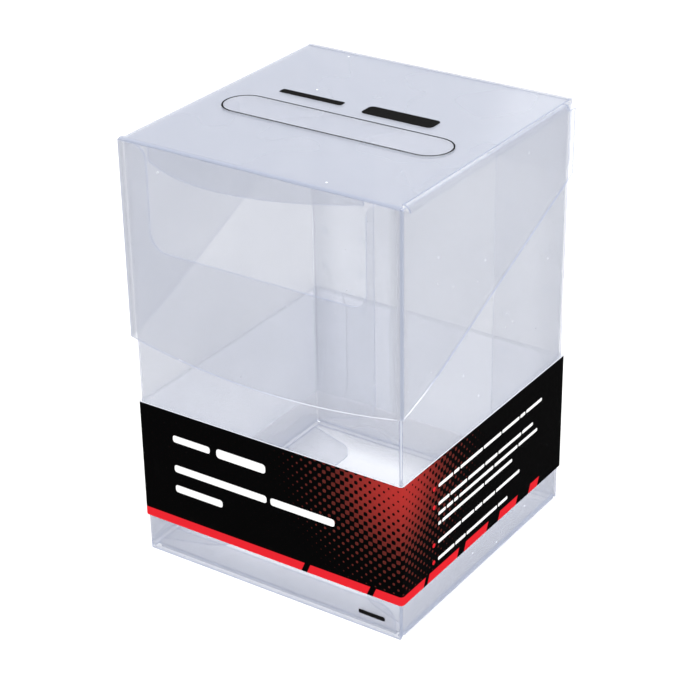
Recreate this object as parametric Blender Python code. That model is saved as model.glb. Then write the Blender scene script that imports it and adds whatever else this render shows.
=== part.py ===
"""Folding clear box for graded cards: a hinged lid, a notched body, a tucked floor and a printed band.

Metres, +Z up, +X to the right, -Y to the front. The origin is under the middle of the outer size.
"""

import math

import bmesh
import bpy
from mathutils import Matrix, Vector

# ---- driving dimensions -------------------------------------------------------------------
SHEET = 0.0005  # folded clear sheet of the body and the lid
CARD = 0.0004  # printed card of the band
FILM = 0.0001  # write-on film
GAP = 0.0003  # air between neighbouring pieces

BODY_WIDTH = 0.0960  # over the outside of the side walls
BODY_DEPTH = 0.0960  # over the outside of the front and back walls
BOX_HEIGHT = 0.1420  # from the table to the top of the lid

LID_EASE = 0.0009  # between the body's walls and the lid's flaps
LID_FLAP_DROP = 0.0652  # length of the lid's front flap at its corners
LID_FRONT_SAG = 0.0052  # how much lower the front flap is in the middle
LID_REAR_DROP = 0.0244  # length of the lid's side flaps and weld strip at the back
LID_SIDE_BLEND = 0.0200  # round stretch at the front of a side flap's lower edge
LID_CORNER_RADIUS = 0.0040
LID_TAB_WIDTH = 0.0060
LID_TAB_INSET = 0.0030  # from the ends of the lid to the ends of a weld tab

TONGUE_LEFT_DEPTH = 0.0050
TONGUE_RIGHT_DEPTH = 0.0020
TONGUE_PULL_DEPTH = 0.0150  # of the point that draws the tongue's curved edge down
TONGUE_PULL_X = 0.0180  # from the tongue's left end to that point
TONGUE_CLEARANCE = 0.0008  # on each side, between the ears

NOTCH_DEPTH = 0.0330  # below the top of the front wall
EAR_LEFT = 0.0080
EAR_RIGHT = 0.0114
EAR_RADIUS = 0.0045
NOTCH_RADIUS = 0.0056

WELD_FLAP_WIDTH = 0.0240
WELD_FLAP_INSET = 0.0020  # from the top and bottom of the back wall
WELD_FLAP_TAPER = 0.0080
WELD_FLAP_RADIUS = 0.0040
DIMPLE_RADIUS = 0.0014
DIMPLE_TOP_RADIUS = 0.0010
DIMPLE_HEIGHT = 0.00025
DIMPLE_ROWS = 6
DIMPLE_PITCH = 0.0131
DIMPLE_TOP = 0.0256  # from the top of the box to the first row
DIMPLE_MARGIN = 0.0045  # from a flap's long edge to its column of dimples

TUCK_HEIGHT = 0.0095
TUCK_CLEARANCE = 0.0009  # behind the front wall, so that the tuck swings past it
TUCK_RADIUS = 0.0060
TUCK_SIDE_CLEARANCE = 0.0025
DUST_FLAP_WIDTH = 0.0220
DUST_FLAP_TAPER = 0.0070
DUST_END_CLEARANCE = 0.0030  # to the tuck at the front and to the weld flaps at the back

BAND_BOTTOM = 0.0128
BAND_HEIGHT = 0.0412
BAND_LAP = 0.0120  # the glued end of the band, under its back panel

STRIP_LENGTH = 0.0800
STRIP_WIDTH = 0.0150
STRIP_RADIUS = 0.0074
STRIP_FROM_FRONT = 0.0410  # from the lid's front edge to the middle of the strip

ARC_STEPS = 8  # pieces in a quarter of a round corner
EDGE_STEPS = 24  # pieces in a long curved edge
SLOPE_STEPS = 20  # fixed-point steps that settle the side flap's slope
DIMPLE_SIDES = 12
MERGE = 1e-6  # distance that welds a curve's caps to its sides

# ---- places worked out from them ----------------------------------------------------------
HALF_WIDTH = BODY_WIDTH / 2
HALF_DEPTH = BODY_DEPTH / 2
LID_REACH = LID_EASE + SHEET  # from a body wall to the outside of the lid
BAND_REACH = GAP + CARD + GAP + CARD  # from the back wall to the outside of the band's lap
REAR_REACH = max(GAP + SHEET, BAND_REACH)
BODY_Y = (LID_REACH - REAR_REACH) / 2  # centres the whole depth on the origin

FRONT_Y = BODY_Y - HALF_DEPTH  # outside of the front wall
BACK_Y = BODY_Y + HALF_DEPTH  # outside of the back wall
LID_FRONT_Y = FRONT_Y - LID_REACH
LID_BACK_Y = BACK_Y + GAP + SHEET  # the lid's crease
LID_HALF_WIDTH = HALF_WIDTH + LID_REACH
LID_UNDERSIDE = BOX_HEIGHT - SHEET
FLAP_TOP = LID_UNDERSIDE - GAP
WALL_TOP = FLAP_TOP - SHEET - GAP

NOTCH_LEFT_X = -HALF_WIDTH + EAR_LEFT
NOTCH_RIGHT_X = HALF_WIDTH - EAR_RIGHT
WELD_FLAP_Y = BACK_Y - SHEET - GAP - SHEET / 2
DUST_Z = SHEET + GAP + SHEET / 2
TUCK_Y = FRONT_Y + SHEET + TUCK_CLEARANCE + SHEET / 2

CLEAR_SHEET = ("clear_sheet", (0.80, 0.83, 0.92, 0.35), 0.12)
BAND_PRINT = ("band_print", (0.02, 0.02, 0.02, 1.0), 0.45)
WRITE_ON = ("write_on_film", (0.90, 0.91, 0.94, 0.60), 0.60)


# ---- scene and material helpers -----------------------------------------------------------
def clear_scene():
    """Removes every object and leaves the file open."""
    for old in list(bpy.data.objects):
        bpy.data.objects.remove(old, do_unlink=True)


def new_collection(name):
    """A new collection linked to the scene."""
    made = bpy.data.collections.new(name)
    bpy.context.scene.collection.children.link(made)
    return made


def material(spec):
    """The Principled material that spec = (name, colour, roughness) describes."""
    name, colour, roughness = spec
    found = bpy.data.materials.get(name)
    if found:
        return found
    made = bpy.data.materials.new(name)
    made.use_nodes = True
    shader = made.node_tree.nodes["Principled BSDF"]
    shader.inputs["Base Color"].default_value = (*colour[:3], 1.0)
    shader.inputs["Alpha"].default_value = colour[3]
    shader.inputs["Roughness"].default_value = roughness
    shader.inputs["Metallic"].default_value = 0.0
    return made


def hinge_empty(name, place, parent=None):
    """An empty on a joint's axis. place is in world coordinates."""
    made = bpy.data.objects.new(name, None)
    PARTS.objects.link(made)
    made.parent = parent
    made.location = Vector(place) - (parent.matrix_world.translation if parent else Vector())
    bpy.context.view_layer.update()
    return made


# ---- outlines -----------------------------------------------------------------------------
def rounded(corners):
    """Outline points of a polygon of (x, y, radius) corners, each rounded by an arc."""
    points = []
    count = len(corners)
    for i, (x, y, radius) in enumerate(corners):
        here = Vector((x, y))
        if radius <= 0:
            points.append(here)
            continue
        before = (Vector(corners[i - 1][:2]) - here).normalized()
        after = (Vector(corners[(i + 1) % count][:2]) - here).normalized()
        half = before.angle(after) / 2
        middle = here + (before + after).normalized() * radius / math.sin(half)
        start = here + before * radius / math.tan(half) - middle
        end = here + after * radius / math.tan(half) - middle
        turn = start.angle_signed(end)
        for k in range(ARC_STEPS + 1):
            points.append(middle + Matrix.Rotation(-turn * k / ARC_STEPS, 2) @ start)
    return points


def sagging_edge(x_start, x_end, z_ends, sag):
    """Points of a shallow circular arc from x_start to x_end that hangs sag below z_ends."""
    half = (x_end - x_start) / 2
    middle = (x_end + x_start) / 2
    radius = (half * half + sag * sag) / (2 * sag)
    reach = math.asin(half / radius)
    points = []
    for k in range(EDGE_STEPS + 1):
        angle = reach * (2 * k / EDGE_STEPS - 1)
        height = z_ends - sag + radius * (1 - math.cos(angle))
        points.append(Vector((middle + radius * math.sin(angle), height)))
    return points


def flat_sheet(name, outline, thickness, spec, parent=None, place=(0, 0, 0), turn=(0, 0, 0)):
    """A flat piece: a filled 2D curve extruded by half its thickness to each side.

    place is in world coordinates, and the parent, an empty, isn't turned.
    """
    curve = bpy.data.curves.new(name, "CURVE")
    curve.dimensions = "2D"
    curve.fill_mode = "BOTH"
    curve.extrude = thickness / 2
    spline = curve.splines.new("POLY")
    spline.points.add(len(outline) - 1)
    for target, point in zip(spline.points, outline):
        target.co = (point[0], point[1], 0.0, 1.0)
    spline.use_cyclic_u = True
    made = bpy.data.objects.new(name, curve)
    PARTS.objects.link(made)
    curve.materials.append(material(spec))
    made.parent = parent
    made.rotation_euler = turn
    made.location = Vector(place) - (parent.matrix_world.translation if parent else Vector())
    bpy.context.view_layer.update()
    return made


UPRIGHT = (math.pi / 2, 0.0, 0.0)  # outline x is +X and outline y is +Z
UPRIGHT_SIDE = (math.pi / 2, 0.0, math.pi / 2)  # outline x is +Y and outline y is +Z
LEVEL = (0.0, 0.0, 0.0)


def rectangle(low_x, low_y, high_x, high_y, radius=0.0):
    """Rounded rectangle between two corners."""
    corners = [(low_x, low_y), (high_x, low_y), (high_x, high_y), (low_x, high_y)]
    return rounded([(x, y, radius) for x, y in corners])


def as_mesh(source):
    """The same piece as a closed mesh, in the curve's place."""
    graph = bpy.context.evaluated_depsgraph_get()
    mesh = bpy.data.meshes.new_from_object(source.evaluated_get(graph))
    shape = bmesh.new()
    shape.from_mesh(mesh)
    bmesh.ops.remove_doubles(shape, verts=shape.verts, dist=MERGE)
    bmesh.ops.recalc_face_normals(shape, faces=shape.faces)
    shape.to_mesh(mesh)
    shape.free()
    name = source.name
    made = bpy.data.objects.new(name, mesh)
    PARTS.objects.link(made)
    made.parent = source.parent
    made.matrix_world = source.matrix_world.copy()
    bpy.data.objects.remove(source, do_unlink=True)
    made.name = name
    bpy.context.view_layer.update()
    return made


# ---- body ---------------------------------------------------------------------------------
def make_front_wall():
    """Front wall with a wide finger notch between two ears."""
    bottom = WALL_TOP - NOTCH_DEPTH
    outline = rounded(
        [
            (-HALF_WIDTH, 0.0, 0.0),
            (HALF_WIDTH, 0.0, 0.0),
            (HALF_WIDTH, WALL_TOP, 0.0),
            (NOTCH_RIGHT_X, WALL_TOP, EAR_RADIUS),
            (NOTCH_RIGHT_X, bottom, NOTCH_RADIUS),
            (NOTCH_LEFT_X, bottom, NOTCH_RADIUS),
            (NOTCH_LEFT_X, WALL_TOP, EAR_RADIUS),
            (-HALF_WIDTH, WALL_TOP, 0.0),
        ]
    )
    place = (0.0, FRONT_Y + SHEET / 2, 0.0)
    flat_sheet("front_wall", outline, SHEET, CLEAR_SHEET, place=place, turn=UPRIGHT)


def make_side_walls():
    """Left and right walls, between the front and the back wall."""
    outline = rectangle(FRONT_Y + SHEET + GAP, 0.0, BACK_Y - SHEET - GAP, WALL_TOP)
    for name, side in (("left_wall", -1), ("right_wall", 1)):
        place = (side * (HALF_WIDTH - SHEET / 2), 0.0, 0.0)
        flat_sheet(name, outline, SHEET, CLEAR_SHEET, place=place, turn=UPRIGHT_SIDE)


def make_back_wall():
    """Back wall, over the full width."""
    outline = rectangle(-HALF_WIDTH, 0.0, HALF_WIDTH, WALL_TOP)
    place = (0.0, BACK_Y - SHEET / 2, 0.0)
    flat_sheet("back_wall", outline, SHEET, CLEAR_SHEET, place=place, turn=UPRIGHT)


def dimple_tool(name, columns):
    """Round weld marks in two columns, as one guide object of separate frustums."""
    shape = bmesh.new()
    sunk = SHEET / 2
    for x in columns:
        for row in range(DIMPLE_ROWS):
            z = BOX_HEIGHT - DIMPLE_TOP - row * DIMPLE_PITCH
            middle = WELD_FLAP_Y - SHEET / 2 + (sunk - DIMPLE_HEIGHT) / 2
            turn = Matrix.Rotation(math.pi / 2, 4, "X")
            bmesh.ops.create_cone(
                shape,
                cap_ends=True,
                segments=DIMPLE_SIDES,
                radius1=DIMPLE_RADIUS,
                radius2=DIMPLE_TOP_RADIUS,
                depth=sunk + DIMPLE_HEIGHT,
                matrix=Matrix.Translation((x, middle, z)) @ turn,
            )
    mesh = bpy.data.meshes.new(name)
    shape.to_mesh(mesh)
    shape.free()
    made = bpy.data.objects.new(name, mesh)
    TOOLS.objects.link(made)
    made.hide_render = True
    made.display_type = "WIRE"
    return made


def make_weld_flaps():
    """The side walls' flaps, folded in behind the back wall and welded to it by dimples."""
    for name, side in (("back_left_weld_flap", -1), ("back_right_weld_flap", 1)):
        outer = HALF_WIDTH - SHEET - GAP
        inner = outer - WELD_FLAP_WIDTH
        low = WELD_FLAP_INSET
        high = WALL_TOP - WELD_FLAP_INSET
        corners = [
            (outer, low, 0.0),
            (outer, high, 0.0),
            (inner, high - WELD_FLAP_TAPER, WELD_FLAP_RADIUS),
            (inner, low + WELD_FLAP_TAPER, WELD_FLAP_RADIUS),
        ]
        outline = rounded([(side * x, z, radius) for x, z, radius in corners])
        place = (0.0, WELD_FLAP_Y, 0.0)
        sheet = flat_sheet(name, outline, SHEET, CLEAR_SHEET, place=place, turn=UPRIGHT)
        flap = as_mesh(sheet)
        columns = (side * (outer - DIMPLE_MARGIN), side * (inner + DIMPLE_MARGIN))
        union = flap.modifiers.new("weld_marks", "BOOLEAN")
        union.operation = "UNION"
        union.solver = "EXACT"
        union.object = dimple_tool(name + "_marks", columns)


# ---- floor --------------------------------------------------------------------------------
def make_bottom():
    """Floor panel on its crease at the back, and the tuck on the panel's front crease."""
    crease = hinge_empty("bottom_crease", (0.0, BACK_Y - SHEET - GAP, 0.0))
    half = HALF_WIDTH - SHEET - GAP
    front = TUCK_Y - SHEET / 2
    outline = rectangle(-half, front, half, BACK_Y - SHEET - GAP)
    place = (0.0, 0.0, SHEET / 2)
    flat_sheet("bottom_panel", outline, SHEET, CLEAR_SHEET, crease, place, LEVEL)

    fold = hinge_empty("tuck_crease", (0.0, TUCK_Y, SHEET + GAP), crease)
    reach = half - TUCK_SIDE_CLEARANCE
    low = SHEET + GAP
    tuck = rounded(
        [
            (-reach, low, 0.0),
            (reach, low, 0.0),
            (reach, TUCK_HEIGHT, TUCK_RADIUS),
            (-reach, TUCK_HEIGHT, TUCK_RADIUS),
        ]
    )
    place = (0.0, TUCK_Y, 0.0)
    flat_sheet("bottom_tuck_flap", tuck, SHEET, CLEAR_SHEET, fold, place, UPRIGHT)


def make_dust_flaps():
    """Flaps of the side walls that lie on the floor panel. Their creases are on the walls."""
    front = TUCK_Y + SHEET / 2 + DUST_END_CLEARANCE
    back = WELD_FLAP_Y - SHEET / 2 - DIMPLE_HEIGHT - DUST_END_CLEARANCE
    outer = HALF_WIDTH - SHEET - GAP
    inner = outer - DUST_FLAP_WIDTH
    for name, side in (("bottom_left_dust_flap", -1), ("bottom_right_dust_flap", 1)):
        crease = hinge_empty(name + "_crease", (side * outer, 0.0, DUST_Z))
        corners = [
            (outer, front, 0.0),
            (outer, back, 0.0),
            (inner, back - DUST_FLAP_TAPER, TUCK_RADIUS),
            (inner, front + DUST_FLAP_TAPER, TUCK_RADIUS),
        ]
        outline = rounded([(side * x, y, radius) for x, y, radius in corners])
        flat_sheet(name, outline, SHEET, CLEAR_SHEET, crease, (0.0, 0.0, DUST_Z), LEVEL)


# ---- lid ----------------------------------------------------------------------------------
def make_lid_rear_strip():
    """The lid's end, welded to the outside of the back wall below the lid's crease."""
    low = BOX_HEIGHT - LID_REAR_DROP
    outline = rounded(
        [
            (-HALF_WIDTH, low, LID_CORNER_RADIUS),
            (HALF_WIDTH, low, LID_CORNER_RADIUS),
            (HALF_WIDTH, FLAP_TOP, 0.0),
            (-HALF_WIDTH, FLAP_TOP, 0.0),
        ]
    )
    place = (0.0, BACK_Y + GAP + SHEET / 2, 0.0)
    flat_sheet("lid_rear_strip", outline, SHEET, CLEAR_SHEET, place=place, turn=UPRIGHT)


def make_lid_top(crease):
    """Top panel, from the front fold to the crease at the back."""
    outline = rectangle(-LID_HALF_WIDTH, LID_FRONT_Y, LID_HALF_WIDTH, LID_BACK_Y)
    place = (0.0, 0.0, BOX_HEIGHT - SHEET / 2)
    flat_sheet("lid_top_panel", outline, SHEET, CLEAR_SHEET, crease, place, LEVEL)


def make_lid_front_flap(crease):
    """Front flap with a shallow curved lower edge."""
    ends = BOX_HEIGHT - LID_FLAP_DROP
    outline = sagging_edge(-LID_HALF_WIDTH, LID_HALF_WIDTH, ends, LID_FRONT_SAG)
    outline += [Vector((LID_HALF_WIDTH, FLAP_TOP)), Vector((-LID_HALF_WIDTH, FLAP_TOP))]
    place = (0.0, LID_FRONT_Y + SHEET / 2, 0.0)
    flat_sheet("lid_front_flap", outline, SHEET, CLEAR_SHEET, crease, place, UPRIGHT)


def side_flap_edge(front, back):
    """Lower edge of a side flap: an arc that leaves the front flap's edge, then a straight rise."""
    low = BOX_HEIGHT - LID_FLAP_DROP
    high = BOX_HEIGHT - LID_REAR_DROP
    start = 2 * math.atan(LID_FRONT_SAG / LID_HALF_WIDTH)  # slope where the front edge ends
    straight = back - front - LID_SIDE_BLEND
    end = math.atan((high - low) / straight)
    for _ in range(SLOPE_STEPS):  # the slope of the straight rise
        radius = LID_SIDE_BLEND / (math.sin(end) - math.sin(start))
        risen = radius * (math.cos(start) - math.cos(end))
        end = math.atan((high - low - risen) / straight)
    points = []
    for k in range(EDGE_STEPS + 1):
        angle = start + (end - start) * k / EDGE_STEPS
        y = front + radius * (math.sin(angle) - math.sin(start))
        points.append(Vector((y, low + radius * (math.cos(start) - math.cos(angle)))))
    return points + [Vector((back, high))]


def make_lid_sides(crease):
    """Side flaps, and the tabs folded from their tops and welded under the top panel."""
    front = LID_FRONT_Y + SHEET + GAP
    edge = side_flap_edge(front, LID_BACK_Y)
    outline = edge + [Vector((LID_BACK_Y, FLAP_TOP)), Vector((front, FLAP_TOP))]
    outer = HALF_WIDTH + LID_EASE - GAP
    inner = outer - LID_TAB_WIDTH
    for word, side in (("left", -1), ("right", 1)):
        place = (side * (HALF_WIDTH + LID_EASE + SHEET / 2), 0.0, 0.0)
        name = f"lid_{word}_flap"
        flat_sheet(name, outline, SHEET, CLEAR_SHEET, crease, place, UPRIGHT_SIDE)
        corners = [
            (outer, FRONT_Y + LID_TAB_INSET),
            (outer, BACK_Y - LID_TAB_INSET),
            (inner, BACK_Y - LID_TAB_INSET - LID_TAB_WIDTH),
            (inner, FRONT_Y + LID_TAB_INSET + LID_TAB_WIDTH),
        ]
        tab = [Vector((side * x, y)) for x, y in corners]
        place = (0.0, 0.0, FLAP_TOP - SHEET / 2)
        flat_sheet(f"lid_{word}_weld_tab", tab, SHEET, CLEAR_SHEET, crease, place, LEVEL)


def make_lid_tongue(crease):
    """Tongue under the top panel's front edge, which locks between the ears of the notch."""
    left = NOTCH_LEFT_X + TONGUE_CLEARANCE
    right = NOTCH_RIGHT_X - TONGUE_CLEARANCE
    start = Vector((left, FLAP_TOP - TONGUE_LEFT_DEPTH))
    pull = Vector((left + TONGUE_PULL_X, FLAP_TOP - TONGUE_PULL_DEPTH))
    end = Vector((right, FLAP_TOP - TONGUE_RIGHT_DEPTH))
    outline = []
    for k in range(EDGE_STEPS + 1):
        t = k / EDGE_STEPS
        outline.append(start * (1 - t) ** 2 + pull * 2 * t * (1 - t) + end * t**2)
    outline += [Vector((right, FLAP_TOP)), Vector((left, FLAP_TOP))]
    place = (0.0, FRONT_Y + SHEET / 2, 0.0)
    flat_sheet("lid_lock_tongue", outline, SHEET, CLEAR_SHEET, crease, place, UPRIGHT)


def make_write_on_strip(crease):
    """Long rounded film to write on, on the top panel."""
    middle = LID_FRONT_Y + STRIP_FROM_FRONT
    outline = rectangle(
        -STRIP_LENGTH / 2,
        middle - STRIP_WIDTH / 2,
        STRIP_LENGTH / 2,
        middle + STRIP_WIDTH / 2,
        STRIP_RADIUS,
    )
    place = (0.0, 0.0, BOX_HEIGHT + GAP + FILM / 2)
    flat_sheet("write_on_strip", outline, FILM, WRITE_ON, crease, place, LEVEL)


def make_lid():
    """The whole lid, on its crease at the top of the back wall."""
    make_lid_rear_strip()
    crease = hinge_empty("lid_crease", (0.0, LID_BACK_Y, BOX_HEIGHT))
    make_lid_top(crease)
    make_lid_front_flap(crease)
    make_lid_sides(crease)
    make_lid_tongue(crease)
    make_write_on_strip(crease)


# ---- band ---------------------------------------------------------------------------------
def make_band():
    """Printed card sleeve round the body: four panels and the lap glued under the back one."""
    slide = hinge_empty("band_slide", (0.0, BODY_Y, BAND_BOTTOM))
    low = BAND_BOTTOM
    high = BAND_BOTTOM + BAND_HEIGHT
    reach = HALF_WIDTH + GAP + CARD

    front = rectangle(-reach, low, reach, high)
    place = (0.0, FRONT_Y - GAP - CARD / 2, 0.0)
    flat_sheet("band_front_panel", front, CARD, BAND_PRINT, slide, place, UPRIGHT)

    back = rectangle(-reach, low, reach, high)
    place = (0.0, BACK_Y + BAND_REACH - CARD / 2, 0.0)
    flat_sheet("band_back_panel", back, CARD, BAND_PRINT, slide, place, UPRIGHT)

    side_outline = rectangle(FRONT_Y, low, BACK_Y + BAND_REACH - CARD - GAP, high)
    for name, side in (("band_left_panel", -1), ("band_right_panel", 1)):
        place = (side * (HALF_WIDTH + GAP + CARD / 2), 0.0, 0.0)
        flat_sheet(name, side_outline, CARD, BAND_PRINT, slide, place, UPRIGHT_SIDE)

    lap = rectangle(-HALF_WIDTH, low, -HALF_WIDTH + BAND_LAP, high)
    place = (0.0, BACK_Y + GAP + CARD / 2, 0.0)
    flat_sheet("band_glue_tab", lap, CARD, BAND_PRINT, slide, place, UPRIGHT)


def main():
    """Builds every piece."""
    make_front_wall()
    make_side_walls()
    make_back_wall()
    make_weld_flaps()
    make_bottom()
    make_dust_flaps()
    make_lid()
    make_band()


clear_scene()
PARTS = new_collection("graded_card_box")
TOOLS = new_collection("graded_card_box_guides")
main()
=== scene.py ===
"""Looks of the folding clear box for graded cards: clear sheets, printed band, light and camera.

Metres, +Z up, +X to the right, -Y to the front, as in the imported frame.
"""

import logging
import math
from collections.abc import Sequence
from dataclasses import dataclass
from enum import Enum
from functools import reduce

import bmesh
import bpy
import numpy as np
from mathutils import Matrix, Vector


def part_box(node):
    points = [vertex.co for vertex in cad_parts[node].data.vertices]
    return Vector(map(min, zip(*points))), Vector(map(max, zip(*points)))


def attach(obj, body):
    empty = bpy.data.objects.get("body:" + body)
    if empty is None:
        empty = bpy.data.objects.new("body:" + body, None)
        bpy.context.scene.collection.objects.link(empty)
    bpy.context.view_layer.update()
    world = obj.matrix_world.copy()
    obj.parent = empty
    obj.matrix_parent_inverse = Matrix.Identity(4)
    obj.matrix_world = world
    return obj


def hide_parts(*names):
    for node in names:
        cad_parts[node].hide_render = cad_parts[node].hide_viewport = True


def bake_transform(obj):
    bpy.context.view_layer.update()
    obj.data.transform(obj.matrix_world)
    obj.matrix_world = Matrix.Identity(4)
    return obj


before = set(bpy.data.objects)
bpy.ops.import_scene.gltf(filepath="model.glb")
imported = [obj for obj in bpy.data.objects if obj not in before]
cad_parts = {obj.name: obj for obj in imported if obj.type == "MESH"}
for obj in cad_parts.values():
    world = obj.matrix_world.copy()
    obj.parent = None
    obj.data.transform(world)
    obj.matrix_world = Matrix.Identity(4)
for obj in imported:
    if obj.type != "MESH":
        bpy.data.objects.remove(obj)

Array = np.ndarray
Socket = bpy.types.NodeSocket
Triple = tuple[float, float, float]
Colour = Triple
Pair = tuple[float, float]
LOG = logging.getLogger("card_box")

SHEET = 0.0005  # thickness of the clear sheet
CARD = 0.0004  # thickness of the band's card
INK = 0.00003  # how far a print stands proud
WELD = 2e-6  # points closer than this become one
SHARP = math.radians(40.0)  # edges that turn more than this are shaded hard
FADE = 0.00025  # how far the mark of a fold reaches into the flat sheet
EASE = 0.001  # length over which the haze changes from one zone to the next
NEAR = 1e-6  # slack for comparing heights
PLASTIC_IOR = 1.53
PRINT_SHEEN = 0.002  # specular level of the inks
PRINT_MAP = "print_map"


# ---- node graphs --------------------------------------------------------------------------
class Graph:
    """The node tree of one new material, with short calls for its nodes."""

    def __init__(self, name: str) -> None:
        """Starts an empty tree.

        Args:
            name: of the material.
        """
        self.material = bpy.data.materials.new(name)
        self.material.use_nodes = True
        self.tree = self.material.node_tree
        self.tree.nodes.clear()

    def feed(self, target: Socket, value: object) -> None:
        """Gives a socket its value.

        Args:
            target: the input.
            value: a socket to link, or a number, vector or colour to set, the colour without its alpha.
        """
        if isinstance(value, bpy.types.NodeSocket):
            self.tree.links.new(value, target)
        else:
            target.default_value = (*value, 1.0) if target.type == "RGBA" else value

    def add(self, kind: str, inputs: dict[str, object] | None = None, **settings: object) -> bpy.types.Node:
        """Adds a node.

        Args:
            kind: the node's type without its ShaderNode prefix.
            inputs: values or sockets by input name.
            settings: the node's own properties.

        Returns:
            The node.
        """
        node = self.tree.nodes.new("ShaderNode" + kind)
        for key, value in settings.items():
            setattr(node, key, value)
        for key, value in (inputs or {}).items():
            self.feed(node.inputs[key], value)
        return node

    def math(self, operation: str, *values: Socket | float) -> Socket:
        """One Math node.

        Args:
            operation: the node's own word for what it does.
            values: sockets or numbers, in its inputs' order.

        Returns:
            The result.
        """
        node = self.add("Math", operation=operation)
        for target, value in zip(node.inputs, values):
            self.feed(target, value)
        return node.outputs[0]

    def total(self, *values: Socket | float) -> Socket:
        """The sum of the values."""
        return reduce(lambda first, second: self.math("ADD", first, second), values)

    def product(self, *values: Socket | float) -> Socket:
        """The product of the values."""
        return reduce(lambda first, second: self.math("MULTIPLY", first, second), values)

    def less(self, value: Socket | float, part: Socket | float) -> Socket:
        """The value less the part."""
        return self.math("SUBTRACT", value, part)

    def mix(self, factor: Socket | float, low: object, high: object) -> Socket:
        """Mixed colour.

        Args:
            factor: 0 for low and 1 for high.
            low: a colour or its socket.
            high: the same.

        Returns:
            The colour.
        """
        node = self.add("Mix", data_type="RGBA")
        for place, value in ((0, factor), (6, low), (7, high)):
            self.feed(node.inputs[place], value)
        return node.outputs[2]

    def between(self, share: Socket | float, first: Socket, second: Socket) -> Socket:
        """Mixed shader.

        Args:
            share: 0 for first and 1 for second.
            first: a shader.
            second: a shader.

        Returns:
            The shader.
        """
        node = self.add("MixShader")
        for target, value in zip(node.inputs, (share, first, second)):
            self.feed(target, value)
        return node.outputs[0]

    def span(self, value: Socket, low: float, high: float, first: float = 0.0, last: float = 1.0) -> Socket:
        """Smooth step between two numbers, held at its ends.

        Args:
            value: what the step is taken of.
            low: the value that gives first.
            high: the value that gives last.
            first: the result at low.
            last: the result at high.

        Returns:
            The result.
        """
        node = self.add("MapRange", interpolation_type="SMOOTHSTEP")
        for target, number in zip(node.inputs, (value, low, high, first, last)):
            self.feed(target, number)
        return node.outputs[0]

    def place(self) -> Socket:
        """The object's own coordinates, in metres."""
        return self.add("TexCoord").outputs["Object"]

    def noise(self, scale: float, detail: float = 2.0, stretch: Triple | None = None) -> Socket:
        """Soft noise on the object's coordinates.

        Args:
            scale: blobs to the metre.
            detail: how much finer noise is laid over it.
            stretch: shares of the scale along the three axes, where they differ.

        Returns:
            Its height, about 0 to 1.
        """
        place = self.place()
        if stretch:
            place = self.add("Mapping", {"Vector": place, "Scale": stretch}).outputs[0]
        return self.add("TexNoise", {"Vector": place, "Scale": scale, "Detail": detail}).outputs[0]

    def painted(self, name: str) -> Socket:
        """A number painted on the mesh's points under that name."""
        return self.add("Attribute", attribute_name=name).outputs["Fac"]

    def bump(self, height: Socket, strength: float, distance: float) -> Socket:
        """Normal of a surface raised by height times distance."""
        return self.add("Bump", {"Height": height, "Strength": strength, "Distance": distance}).outputs[0]

    def clear(self, tint: Colour = (1.0, 1.0, 1.0)) -> Socket:
        """A shader that lets everything through, times its tint."""
        return self.add("BsdfTransparent", {"Color": tint}).outputs[0]

    def shader(self, **inputs: object) -> Socket:
        """A Principled shader, with underscores for the spaces in its input names."""
        named = {key.replace("_", " "): value for key, value in inputs.items()}
        return self.add("BsdfPrincipled", named).outputs[0]

    def finish(self, surface: Socket) -> bpy.types.Material:
        """Sends surface to the output, and gives back the material."""
        self.add("OutputMaterial", {"Surface": surface})
        return self.material


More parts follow.
